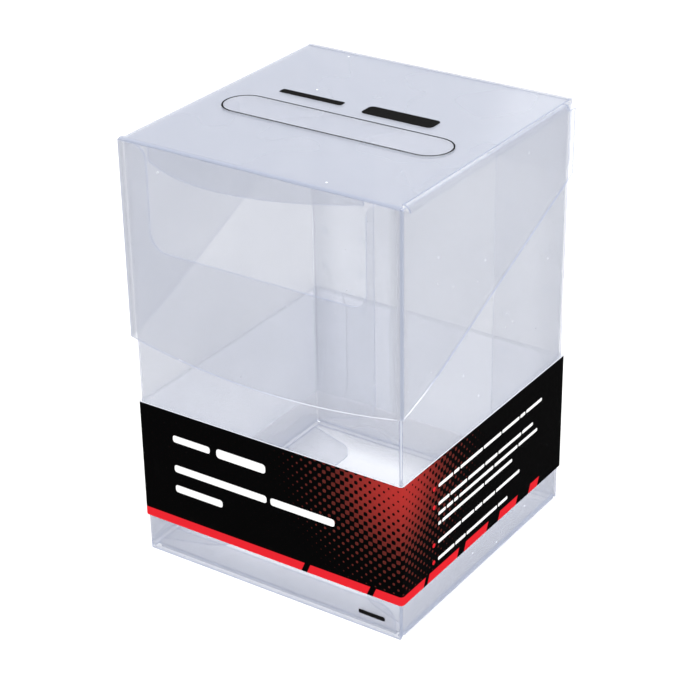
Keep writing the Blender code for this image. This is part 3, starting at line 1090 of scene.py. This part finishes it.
    def weld_marks(self) -> bpy.types.Object:
        """Round pressed welds in two columns on each flap.

        Each is a profile of radius and height turned about its own axis: a dish with a raised lip,
        closed behind inside the sheet.

        Returns:
            The piece.
        """
        profile = np.array([(0.0, 0.00006), (0.0006, 0.00006), (0.00085, 0.00022), (0.00105, 0.00024),
                            (0.00125, 0.00016), (0.0014, 0.00001), (0.0014, -0.0001), (0.0, -0.0001)])
        angle = np.linspace(0.0, 2 * math.pi, 17)
        radius, rise = profile[::-1, :1], profile[::-1, 1:]
        outer = abs(self.left) - SHEET - 0.0003 - self.mark_margin
        inner = abs(self.flap_inner) + self.mark_margin
        marks = []
        for x in (-outer, -inner, inner, outer):
            for row in range(self.mark_rows):
                z = self.lid_top - self.mark_drop - row * self.mark_pitch
                ring = grid(x + radius * np.sin(angle), self.flap_face - rise, z + radius * np.cos(angle))
                # painted shade: the raised lip carries the crease blue, darkest at its top
                marks.append(Patch(ring, fold=held(rise / 0.00024) * 0.8))
        piece = surface("weld_marks", marks)
        piece.data.materials.append(Finish.WELD.material())
        piece.data.shade_smooth()
        return piece

    def rear_strip(self) -> bpy.types.Object:
        """The lid's end, welded to the back wall, with round lower corners.

        Returns:
            The piece.
        """
        low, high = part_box("lid_rear_strip")
        z = np.concatenate([low.z + self.strip_radius * (1 - np.cos(arc(6))),
                            np.linspace(low.z + 1.5 * self.strip_radius, self.strip_top, 6)])[:, None]
        half = high.x - round_off(z - low.z, self.strip_radius)
        x = np.linspace(1.0, -1.0, 15) * half
        mark = held(1.0 - (z - low.z) / 0.0008) * 0.5
        return sheet("lid_weld_strip", [Patch(grid(x, high.y, z), fold=mark, veil=self.strip_veil)])

    def build(self) -> None:
        """Builds every piece that stays still with the body."""
        stand_for(self.sleeve(), "box_body", "clear_sheet", "front_wall", "left_wall", "right_wall",
                  "back_left_weld_flap", "back_right_weld_flap")
        stand_for(self.back_wall(), "box_body", "clear_sheet", "back_wall")
        stand_for(self.rear_strip(), "box_body", "clear_sheet", "lid_rear_strip")
        stand_for(self.weld_marks(), "box_body", "clear_sheet")


# ---- floor --------------------------------------------------------------------------------
@dataclass
class Floor:
    """The floor panel, its tuck, the dust flaps, and the folds between them and the body."""

    bend: float = 0.0008  # radius of a living hinge
    land: float = 0.0008  # flat sheet on each side of a living hinge
    tuck_radius: float = 0.0060
    dust_taper: float = 0.0070
    dust_radius: float = 0.0060
    shade_rim_width: float = 0.0140  # how far the painted shade round the floor's border reaches inwards
    rim_shade_veil: float = 1.5
    middle_veil: float = 0.03
    tuck_veil: float = 0.9
    dust_veil: float = 0.8

    def hinge(self, name: str, axis: str, corner: Pair, ways: tuple[int, int, int], ends: Pair,
              bodies: tuple[str, str]) -> None:
        """Living hinge between two bodies.

        Args:
            name: the piece's name.
            axis: "x" or "y", the line that it runs along.
            corner: where its two outer sides would meet, the other level coordinate and z.
            ways: 1 or -1 for the upright land's and the level land's directions, and -1 to start level.
            ends: of the line.
            bodies: the two bodies it lies between, named in the log.
        """
        piece = living_hinge(name, axis, corner, ways, ends, self.bend, self.land)
        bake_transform(piece)
        LOG.info("%s between %s and %s", name, *bodies)

    def panel(self) -> bpy.types.Object:
        """The floor panel, from its rear hinge to its front one.

        Returns:
            The piece.
        """
        low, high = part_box("bottom_panel")
        x = np.linspace(low.x, high.x, 41)
        front = low.y + self.bend + self.land
        back = high.y - self.land
        y = np.linspace(back, front, 41)[:, None]
        edge = np.minimum(high.x - np.abs(x), np.minimum(y - front, back - y))
        # painted shade: the haze thickens towards the floor's border, where the walls and the band shade
        # it; the middle stays nearly clear
        veil = self.middle_veil + self.rim_shade_veil * smooth(1.0 - edge / self.shade_rim_width)
        return sheet("floor_sheet", [Patch(grid(x, y, low.z), veil=veil)])

    def tuck(self) -> bpy.types.Object:
        """The tuck, with round upper corners.

        Returns:
            The piece.
        """
        low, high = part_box("bottom_tuck_flap")
        foot = self.bend + self.land
        z = np.concatenate([[foot, 0.0030], high.z - self.tuck_radius * (1 - np.sin(arc(7)))])[:, None]
        half = high.x - round_off(high.z - z, self.tuck_radius)
        x = np.linspace(-1.0, 1.0, 15) * half
        return sheet("tuck_sheet", [Patch(grid(x, low.y, z), veil=self.tuck_veil)])

    def dust_flap(self, word: str, side: int) -> bpy.types.Object:
        """A dust flap: its ends taper to the inner edge, which has round corners.

        Args:
            word: "left" or "right".
            side: -1 or 1.

        Returns:
            The piece.
        """
        low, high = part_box(f"bottom_{word}_dust_flap")
        width = high.x - low.x
        away = np.concatenate([self.dust_radius * (1 - np.cos(arc(6))),
                               np.linspace(self.dust_radius, width - self.land, 5)[1:]])
        half = (high.y - low.y) / 2 - self.dust_taper * (1 - away / width)
        half -= round_off(away, self.dust_radius)
        inner = low.x if side > 0 else high.x
        x = (inner + side * away)[:, None]
        if side < 0:
            x, half = x[::-1], half[::-1]
        y = (low.y + high.y) / 2 + np.linspace(1.0, -1.0, 13) * half[:, None]
        return sheet(f"{word}_dust_sheet", [Patch(grid(x, y, low.z)[::-1], veil=self.dust_veil)])

    def build(self) -> None:
        """Builds the floor's pieces."""
        stand_for(self.panel(), "floor_panel", "clear_sheet", "bottom_panel")
        stand_for(self.tuck(), "tuck", "clear_sheet", "bottom_tuck_flap")
        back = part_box("back_wall")[1].y
        low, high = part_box("bottom_panel")
        self.hinge("floor_hinge", "x", (back, 0.0), (1, -1, -1), (high.x, low.x),
                   ("box_body", "floor_panel"))
        tuck_low, tuck_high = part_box("bottom_tuck_flap")
        self.hinge("tuck_hinge", "x", (tuck_low.y, 0.0), (1, 1, -1), (tuck_low.x, tuck_high.x),
                   ("tuck", "floor_panel"))
        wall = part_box("right_wall")[1].x
        front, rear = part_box("front_wall")[1].y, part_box("back_left_weld_flap")[0].y
        for word, side in (("left", -1), ("right", 1)):
            stand_for(self.dust_flap(word, side), f"{word}_dust_flap", "clear_sheet",
                      f"bottom_{word}_dust_flap")
            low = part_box(f"bottom_{word}_dust_flap")[0]
            ends = (front, rear) if side > 0 else (rear, front)
            self.hinge(f"{word}_dust_hinge", "y", (side * wall, low.z), (1, -side, -1), ends,
                       ("box_body", f"{word}_dust_flap"))


# ---- lid ----------------------------------------------------------------------------------
@dataclass
class Lid:
    """The lid: one folded cover with welded tabs, the lock tongue and the hinge at the back."""

    front_bend: float = 0.0007
    side_bend: float = 0.0022
    corner_bend: float = 0.0007
    top_side_gap: float = 0.0016  # from the lid's side to the top panel's edge
    flap_drop: float = 0.0652
    front_sag: float = 0.0052
    rear_drop: float = 0.0244
    side_blend: float = 0.0200
    side_veil: float = 0.35
    front_veil: float = 0.55
    front_ease: float = 0.002
    end_veil: float = 2.0  # more haze at the front flap's ends, outside the body
    end_start: float = 0.0478
    end_ease: float = 0.0003
    top_veil: float = 1.7
    tab_veil: float = 0.3
    tongue_veil: float = 0.6
    # strengths of the painted fold lines: the crease blue, partly a fold's own line and partly painted
    # shade
    corner_marks: Pair = (0.4, 0.55)
    front_mark: float = 0.6
    # painted shade: the crease blue spread thin over the whole top panel keeps the lamp-lit top darker
    top_panel_shade: float = 0.26
    side_mark: float = 0.22
    tab_inset: float = 0.0030
    hinge_bend: float = 0.0008
    hinge_land: float = 0.0010
    tongue_bend: float = 0.0006
    tongue_pull: Pair = (0.0180, 0.0150)
    tongue_depths: Pair = (0.0050, 0.0020)
    rows: int = 15

    def __post_init__(self) -> None:
        """Reads the lid's places from the frame."""
        low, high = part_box("lid_top_panel")
        self.half, self.front, self.back, self.top = high.x, low.y, high.y, high.z
        self.flap_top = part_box("lid_front_flap")[1].z
        self.side_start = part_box("lid_left_flap")[0].y
        self.path = BentPath([(-self.half, self.back), (-self.half, self.front),
                              (self.half, self.front), (self.half, self.back)],
                             self.corner_bend, self.corner_marks)

    def front_edge(self, x: Array) -> Array:
        """Lower edge of the front flap: a shallow circular arc that hangs front_sag below its ends."""
        radius = (self.half**2 + self.front_sag**2) / (2 * self.front_sag)
        return self.top - self.flap_drop - self.front_sag + radius - np.sqrt(radius**2 - x**2)

    def side_edge(self, y: Array) -> Array:
        """Lower edge of a side flap: an arc that leaves the front edge's slope, then a straight rise.

        The straight part's angle is the one that ends at the rear drop, found by repeated steps.

        Args:
            y: places along the side.

        Returns:
            Its heights.
        """
        low, high = self.top - self.flap_drop, self.top - self.rear_drop
        start = 2 * math.atan(self.front_sag / self.half)
        run = self.back - self.side_start - self.side_blend
        end = math.atan((high - low) / run)
        for _ in range(20):
            radius = self.side_blend / (math.sin(end) - math.sin(start))
            risen = radius * (math.cos(start) - math.cos(end))
            end = math.atan((high - low - risen) / run)
        away = np.maximum(y - self.side_start, 0.0)
        sine = np.minimum(away, self.side_blend) / radius + math.sin(start)
        straight = np.maximum(away - self.side_blend, 0.0) * math.tan(end)
        return low + radius * (math.cos(start) - np.cos(np.arcsin(np.clip(sine, -1.0, 1.0)))) + straight

    def lower_edge(self, along: Array) -> Array:
        """Lower edge all round: front and side edges, joined evenly round the corners.

        Args:
            along: lengths along the path.

        Returns:
            Its heights.
        """
        x, y = self.path.at(along)
        first, last = self.path.folds
        flat = self.half - self.corner_bend
        front = float(self.front_edge(np.array(flat)))
        side = float(self.side_edge(np.array(self.front + self.corner_bend)))
        result = np.where((along > first[1]) & (along < last[0]), self.front_edge(x), self.side_edge(y))
        for low, high in (first, last[::-1]):
            share = (along - low) / (high - low)
            inside = (share >= 0.0) & (share <= 1.0)
            result = np.where(inside, side + (front - side) * share, result)
        return result

    def apron(self, columns: Array) -> Patch:
        """Flap below the folds: rows share out the height between the lower edge and the top fold.

        A side's top fold is lower than the front's, and the last row but one keeps the front fold's
        mark narrow.

        Args:
            columns: lengths along the path.

        Returns:
            The patch.
        """
        x, y = self.path.at(columns)
        inset = self.tab_inset - 0.0006
        share = held((y - self.front - self.corner_bend) / inset)
        side = self.flap_top - self.side_bend
        high = (self.top - self.front_bend) * (1 - share) + side * share
        low = self.lower_edge(columns)
        steps = np.append(np.linspace(0.0, 1.0, self.rows)[:-1], [1.0 - FADE / self.flap_drop, 1.0])
        steps = steps[:, None]
        front = held(1.0 - (y - self.front) / self.front_ease)
        end = held((np.abs(x) - self.end_start) / self.end_ease) * front
        veil = self.side_veil + (self.front_veil - self.side_veil) * front + self.end_veil * end
        fold = np.maximum(self.path.fold(columns), self.front_mark * (steps == 1.0))
        return Patch(grid(x, y, low + (high - low) * steps), fold=fold, veil=veil)

    def top_panel(self, x: Array) -> list[Patch]:
        """The front fold and the top panel.

        The fold's profile is a quarter round. The panel widens just behind it on a smooth step, so
        the three folds leave a small hole at each front corner.

        Args:
            x: places across, at the front.

        Returns:
            The two patches.
        """
        angle = arc(5)[:, None]
        bend = self.front_bend
        y = self.front + bend * (1 - np.cos(angle))
        fold = Patch(grid(x, y, self.top - bend + bend * np.sin(angle)), fold=self.front_mark,
                     veil=self.top_veil)
        start, end = self.front + bend, self.back - self.hinge_bend - self.hinge_land
        y = np.concatenate([start + np.array([0.0, 0.0006, 0.0011, 0.0016]),
                            np.linspace(start + 0.003, end, 14)])[:, None]
        narrow, wide = self.half - self.corner_bend, self.half - self.top_side_gap
        width = narrow + (wide - narrow) * smooth((y - start - 0.0006) / 0.0010)
        # painted shade over the top panel, stronger at the front fold's line
        mark = self.top_panel_shade + (self.front_mark - self.top_panel_shade) * held(1.0 - (y - start) / 0.0011)
        return [fold, Patch(grid(x / narrow * width, y, self.top), fold=mark, veil=self.top_veil)]

    def tab(self, columns: Array) -> Patch:
        """Fat side fold and the tab that is welded under the top panel, shorter towards its inner edge.

        Args:
            columns: lengths along the path, on one side.

        Returns:
            The patch.
        """
        x, y = self.path.at(columns)
        side = np.sign(x[0])
        angle = arc(7)
        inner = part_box("lid_right_weld_tab")[0].x
        reach = np.concatenate([self.half - self.side_bend * (1 - np.cos(angle)),
                                np.linspace(self.half - self.side_bend, inner, 4)[1:]])[:, None]
        rise = self.flap_top - self.side_bend + self.side_bend * np.sin(angle)
        z = np.concatenate([rise, np.full(3, self.flap_top)])[:, None]
        middle, half = (y.min() + y.max()) / 2, (y.max() - y.min()) / 2
        cut = held(self.half - self.side_bend - reach)
        mark = np.concatenate([[self.front_mark], np.full(len(angle) - 1, self.side_mark),
                               [0.05, 0.05, 0.3]])
        y = middle + (y - middle) * (1 - cut / half)
        return Patch(grid(side * reach, y, z), fold=mark[:, None], veil=self.tab_veil)

    def cover(self) -> bpy.types.Object:
        """The folded cover: apron, front fold, top panel and both tabs.

        Returns:
            The piece.
        """
        first, last = self.path.folds
        near, far = (self.back - corner.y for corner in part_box("lid_left_weld_tab"))
        total = self.path.length
        left = self.path.stops(0.0, first[1], extra=[near, far])
        right = self.path.stops(last[0], total, extra=[total - near, total - far])
        middle = self.path.stops(first[1], last[0], step=0.004)
        x = self.path.at(middle)[0]
        patches = [self.apron(left), self.apron(middle), self.apron(right), *self.top_panel(x)]
        patches.append(self.tab(left[(left > far - 1e-9) & (left < near + 1e-9)]))
        patches.append(self.tab(right[(right > total - near - 1e-9) & (right < total - far + 1e-9)]))
        return sheet("lid_cover", patches)

    def tongue(self) -> bpy.types.Object:
        """The lock tongue.

        Its lower edge is a quadratic curve from one end to the other, drawn down towards a point near
        the left end. Its top turns back under the top panel.

        Returns:
            The piece.
        """
        low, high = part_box("lid_lock_tongue")
        ends = [(low.x, high.z - self.tongue_depths[0]), (high.x, high.z - self.tongue_depths[1])]
        pull = (low.x + self.tongue_pull[0], high.z - self.tongue_pull[1])
        t = np.linspace(0.0, 1.0, 29)
        x, edge = (first * (1 - t) ** 2 + drawn * 2 * t * (1 - t) + last * t**2
                   for first, drawn, last in zip(ends[0], pull, ends[1]))
        bend = self.tongue_bend
        share = np.linspace(0.0, 1.0, 6)[:, None]
        wall = grid(x, low.y, edge + (high.z - bend - edge) * share)
        angle = arc(5)[1:, None]
        turn = grid(x, low.y + bend * (1 - np.cos(angle)), high.z - bend + bend * np.sin(angle))
        land = grid(x, low.y + bend + np.array([0.0015, 0.0030])[:, None], high.z)
        mark = np.concatenate([np.full(6, 0.25), np.full(5, 0.35), np.full(2, 0.2)])[:, None]
        return sheet("lid_tongue", [Patch(np.concatenate([wall, turn, land]), fold=mark,
                                          veil=self.tongue_veil)])

    def hinge(self) -> None:
        """Living hinge between the weld strip and the top panel."""
        bend, half = self.hinge_bend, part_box("lid_rear_strip")[1].x
        piece = living_hinge("lid_hinge", "x", (self.back, self.top), (-1, -1, 1), (half, -half),
                             bend, self.hinge_land)
        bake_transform(piece)
        LOG.info("lid_hinge between box_body and lid")

    def build(self) -> None:
        """Builds the lid's pieces."""
        stand_for(self.cover(), "lid", "clear_sheet", "lid_top_panel", "lid_front_flap", "lid_left_flap",
                  "lid_right_flap", "lid_left_weld_tab", "lid_right_weld_tab")
        stand_for(self.tongue(), "lid", "clear_sheet", "lid_lock_tongue")
        self.hinge()
        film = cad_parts["write_on_strip"].data
        film.materials.clear()
        film.materials.append(Finish.FILM.material())


# ---- band ---------------------------------------------------------------------------------
@dataclass
class Band:
    """The printed card sleeve and the lap under its back panel."""

    fold_radius: float = 0.0012

    def __post_init__(self) -> None:
        """Reads the band's places from the frame."""
        low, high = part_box("band_front_panel")
        self.low, self.high = low.z, high.z
        self.front, self.half = low.y, high.x
        self.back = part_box("band_back_panel")[1].y

    def sleeve(self) -> bpy.types.Object:
        """The sleeve: a closed path round the box, carried up, with the print map laid along it.

        Returns:
            The piece.
        """
        path = BentPath([(0.0, self.back), (-self.half, self.back), (-self.half, self.front),
                         (self.half, self.front), (self.half, self.back), (0.0, self.back)],
                        self.fold_radius)
        columns = path.stops(0.0, path.length)
        x, y = path.at(columns)
        z = np.linspace(self.low, self.high, 7)[:, None]
        start = sum(path.folds[1]) / 2
        chart = np.stack(np.broadcast_arrays(columns - start, z - self.low), axis=-1)
        patch = Patch(grid(x, y, z), chart=chart)
        return sheet("band_sleeve", [patch], (Finish.PRINT, Finish.CARD, Finish.CORE), CARD, inner=1, rim=2)

    def lap(self) -> bpy.types.Object:
        """The glued lap, with its corners cut back a little.

        Returns:
            The piece.
        """
        low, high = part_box("band_glue_tab")
        z = np.linspace(self.low, self.high, 9)[:, None]
        cut = round_off(np.minimum(z - self.low, self.high - z), 0.002)
        x = high.x - cut + (low.x - high.x + cut) * np.linspace(0.0, 1.0, 5)
        return sheet("band_lap", [Patch(grid(x, high.y, z))], (Finish.CARD,), CARD, rim=0)

    def build(self) -> None:
        """Builds the band's pieces."""
        stand_for(self.sleeve(), "band", "band_print", "band_front_panel", "band_right_panel",
                  "band_back_panel", "band_left_panel")
        stand_for(self.lap(), "band", "band_card", "band_glue_tab")


# ---- prints -------------------------------------------------------------------------------
class Side(Enum):
    """The flat sides that carry a print: the axes of its across and up, and its outward way."""

    FRONT = ((1, 0, 0), (0, 0, 1), (0, -1, 0))
    RIGHT = ((0, 1, 0), (0, 0, 1), (1, 0, 0))
    BACK = ((-1, 0, 0), (0, 0, 1), (0, 1, 0))
    TOP = ((1, 0, 0), (0, 1, 0), (0, 0, 1))


@dataclass
class Print:
    """Plain bars, rings and spots of ink that stand for the box's printing."""

    name: str
    finish: Finish
    side: Side
    origin: Triple  # the print's lower left corner, on the surface
    body: str = "band"
    slot: str = "band_print"

    def lay(self, across: Array, up: Array, lift: float = INK) -> Array:
        """Points of the print.

        Args:
            across: millimetres across from the origin.
            up: millimetres up from it.
            lift: metres off the surface.

        Returns:
            The points.
        """
        axes = np.array(self.side.value, float)
        flat = across[..., None] * axes[0] + up[..., None] * axes[1]
        return np.array(self.origin) + flat / 1000.0 + axes[2] * lift

    def bars(self, bars: Sequence[Sequence[float]], corner: float = 0.35) -> None:
        """Round-ended bars.

        A bar's half height is constant, less the pull of the round corner near each end.

        Args:
            bars: (first, last, middle height, height) of each, in millimetres.
            corner: radius of the corners, as a share of the height.
        """
        patches = []
        for first, last, middle, height in bars:
            radius = corner * height
            turn = radius * (1 - np.cos(arc(4)))
            across = np.concatenate([first + turn, (last - turn)[::-1]])
            half = height / 2 - round_off(np.minimum(across - first, last - across), radius)
            up = middle + np.linspace(-1.0, 1.0, 3)[:, None] * half
            patches.append(Patch(self.lay(np.broadcast_to(across, up.shape), up)))
        self.finished(patches)

    def spots(self, spots: Sequence[Sequence[float]]) -> None:
        """Round spots: rings of a shrinking radius.

        Args:
            spots: (across, up, radius) of each, in millimetres.
        """
        patches = []
        angle = np.linspace(0.0, 2 * math.pi, 17)
        for across, up, radius in spots:
            reach = np.array([radius, radius / 2, 0.0])[:, None]
            patches.append(Patch(self.lay(across + reach * np.cos(angle), up + reach * np.sin(angle))))
        self.finished(patches)

    def stadium(self, length: float, width: float, line: float) -> None:
        """A long ring about the origin: two straight runs and two half circles.

        Args:
            length: outside, in millimetres.
            width: outside.
            line: how wide the ring's line is.
        """
        half = length / 2 - width / 2
        turn = arc(16, math.pi)
        angle = np.concatenate([turn - math.pi / 2, turn + math.pi / 2, [1.5 * math.pi]])
        shift = np.where(np.arange(len(angle)) < len(turn), half, -half)
        shift[-1] = half
        reach = np.array([width / 2 - line, width / 2])[::-1, None]
        points = self.lay(shift + reach * np.cos(angle), reach * np.sin(angle))
        self.finished([Patch(points)])

    def finished(self, patches: Sequence[Patch]) -> None:
        """Joins the patches into one thin layer of ink that moves with its body."""
        stand_for(sheet(self.name, patches, (self.finish,), INK * 0.9, rim=0), self.body, self.slot)


def words(first: float, last: float, middle: float, height: float,
          cuts: Sequence[float]) -> list[list[float]]:
    """Bars along one line, parted by word gaps.

    Args:
        first: where the line starts, in millimetres.
        last: where it ends.
        middle: its height.
        height: of its bars.
        cuts: where the gaps are, as shares of the line.

    Returns:
        (first, last, middle, height) of each bar.
    """
    gap = 0.55 * height
    places = [first, *(first + (last - first) * cut for cut in cuts), last + gap]
    return [[a, b - gap, middle, height] for a, b in zip(places, places[1:])]


def build_prints() -> None:
    """Lays the generic prints on the band, the body and the lid."""
    low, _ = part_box("band_front_panel")
    face = (low.x, low.y, 0.0)
    Print("band_headline", Finish.WHITE, Side.FRONT, face).bars([
        [13.2, 27.5, 44.6, 2.4], [30.0, 48.5, 44.6, 3.2],
        *words(13.2, 73.5, 33.9, 2.6, (0.61,)), [13.2, 31.5, 26.6, 2.6],
    ])
    low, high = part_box("band_right_panel")
    flank = (high.x, low.y, 0.0)
    notes = (
        (82.5, 44.6, (0.14, 0.20, 0.42, 0.60, 0.78, 0.84)),
        (77.0, 38.2, (0.12, 0.30, 0.48, 0.62, 0.88)),
        (80.0, 34.7, (0.08, 0.15, 0.20, 0.55, 0.80)),
        (64.0, 31.2, (0.05, 0.62)),
        (69.0, 24.8, (0.28, 0.44, 0.54, 0.70)),
        (61.5, 18.7, (0.24, 0.40, 0.86)),
    )
    Print("band_notes", Finish.WHITE, Side.RIGHT, flank).bars(
        [bar for last, middle, cuts in notes for bar in words(19.5, last, middle, 1.15, cuts)])
    Print("band_bullets", Finish.RED, Side.RIGHT, flank).spots(
        [(17.0, up, 0.75) for up in (44.6, 38.2, 24.8, 18.7)])
    _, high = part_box("band_back_panel")
    Print("band_back_block", Finish.WHITE, Side.BACK, (high.x, high.y, 0.0)).bars(
        [[65.0, 78.6, 35.0, 28.6]], corner=0.03)
    thick = np.array([1.1, 0.5, 0.8, 0.5, 1.3, 0.6, 0.5, 1.0, 0.5, 0.7, 1.2, 0.5, 0.9, 0.6, 1.1])
    gap, foot = 0.82, 23.0
    ends = foot + np.cumsum(thick + gap)
    Print("band_back_lines", Finish.BLACK, Side.BACK, (high.x, high.y + INK, 0.0)).bars(
        [[67.0, 76.6, end - size / 2, size] for size, end in zip(thick, ends)], corner=0.02)
    low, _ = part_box("front_wall")
    Print("base_mark", Finish.BLACK, Side.FRONT, (low.x, low.y, 0.0), "box_body").bars(
        [[80.6, 90.0, 5.3, 1.5]])
    low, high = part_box("lid_top_panel")
    Print("lid_emblem", Finish.BLACK, Side.TOP, (low.x, low.y, high.z), "lid").bars(
        [[18.5, 41.5, 57.0, 3.0], [49.5, 74.5, 57.0, 6.6]], corner=0.25)
    low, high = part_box("write_on_strip")
    middle = ((low.x + high.x) / 2, (low.y + high.y) / 2, high.z)
    Print("write_on_outline", Finish.BLACK, Side.TOP, middle, "lid", "write_on_film").stadium(
        (high.x - low.x) * 1000, (high.y - low.y) * 1000, 0.52)


# ---- stage --------------------------------------------------------------------------------
@dataclass
class Studio:
    """Floor, soft lights and the camera."""

    eye: Triple = (0.31931, -0.47398, 0.36238)
    azimuth: float = -34.105
    elevation: float = -27.577
    roll: float = -0.866
    lens: float = 105.38
    sky: float = 1.02
    aim: float = 0.07  # height that the lamps face
    tone: Pair = (0.90, 0.93)
    depth: float = 0.00005  # the floor's drop below the box
    lamps = (
        ("key", (-0.55, -0.75, 1.05), 1.2, 3.5),
        ("top", (0.0, 0.0, 1.10), 0.5, 5.0),
        ("fill", (0.95, -0.25, 0.55), 1.0, 2.5),
        ("rim", (-0.10, 0.95, 0.85), 0.9, 2.0),
    )

    def floor(self) -> None:
        """A wide plain floor with a slight swell of tone."""
        g = Graph("studio_floor")
        tone = g.mix(g.noise(1.5, 1.0), *((tone,) * 3 for tone in self.tone))
        line = np.linspace(-3.0, 3.0, 5)
        piece = surface("studio_floor", [Patch(grid(line, line[:, None], -self.depth))])
        piece.data.materials.append(g.finish(g.shader(Base_Color=tone, Roughness=0.9)))

    def light(self, name: str, place: Triple, size: float, power: float) -> None:
        """A square soft light that faces the box's middle.

        Args:
            name: of the light.
            place: where it stands.
            size: of its side.
            power: in watts.
        """
        data = bpy.data.lights.new(name, "AREA")
        data.size = size
        data.energy = power
        made = bpy.data.objects.new(name, data)
        bpy.context.scene.collection.objects.link(made)
        made.location = place
        aim = np.array(place) - np.array((0.0, 0.0, self.aim))
        made.rotation_euler = (math.atan2(math.hypot(aim[0], aim[1]), aim[2]), 0.0,
                               math.atan2(aim[0], -aim[1]))

    def camera(self) -> None:
        """The camera, from its bearing, its dip and a small roll."""
        turn, dip, roll = (math.radians(a) for a in (self.azimuth, self.elevation, self.roll))
        ahead = np.array([math.sin(turn) * math.cos(dip), math.cos(turn) * math.cos(dip), math.sin(dip)])
        right = np.cross(ahead, (0.0, 0.0, 1.0))
        right /= np.linalg.norm(right)
        up = np.cross(right, ahead)
        right, up = (math.cos(roll) * right + math.sin(roll) * up,
                     math.cos(roll) * up - math.sin(roll) * right)
        data = bpy.data.cameras.new("camera")
        data.sensor_width = 36.0
        data.lens = self.lens
        data.clip_start = 0.01
        made = bpy.data.objects.new("camera", data)
        bpy.context.scene.collection.objects.link(made)
        pose = np.eye(4)
        pose[:3, 0], pose[:3, 1], pose[:3, 2], pose[:3, 3] = right, up, -ahead, self.eye
        made.matrix_world = Matrix(pose.tolist())
        bpy.context.scene.camera = made

    def build(self) -> None:
        """Sets the stage."""
        scene = bpy.context.scene
        world = bpy.data.worlds.new("studio")
        world.use_nodes = True
        back = world.node_tree.nodes["Background"]
        back.inputs["Color"].default_value = (1.0, 1.0, 1.0, 1.0)
        back.inputs["Strength"].default_value = self.sky
        scene.world = world
        scene.view_settings.view_transform = "Standard"
        scene.cycles.transparent_max_bounces = 64
        self.floor()
        for lamp in self.lamps:
            self.light(*lamp)
        self.camera()


def main() -> None:
    """Builds the box's looks and the stage."""
    logging.basicConfig(level=logging.INFO, format="%(name)s: %(message)s")
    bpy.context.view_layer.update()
    for part in (Body(), Floor(), Lid(), Band()):
        part.build()
    build_prints()
    Studio().build()


if __name__ == "__main__":
    main()
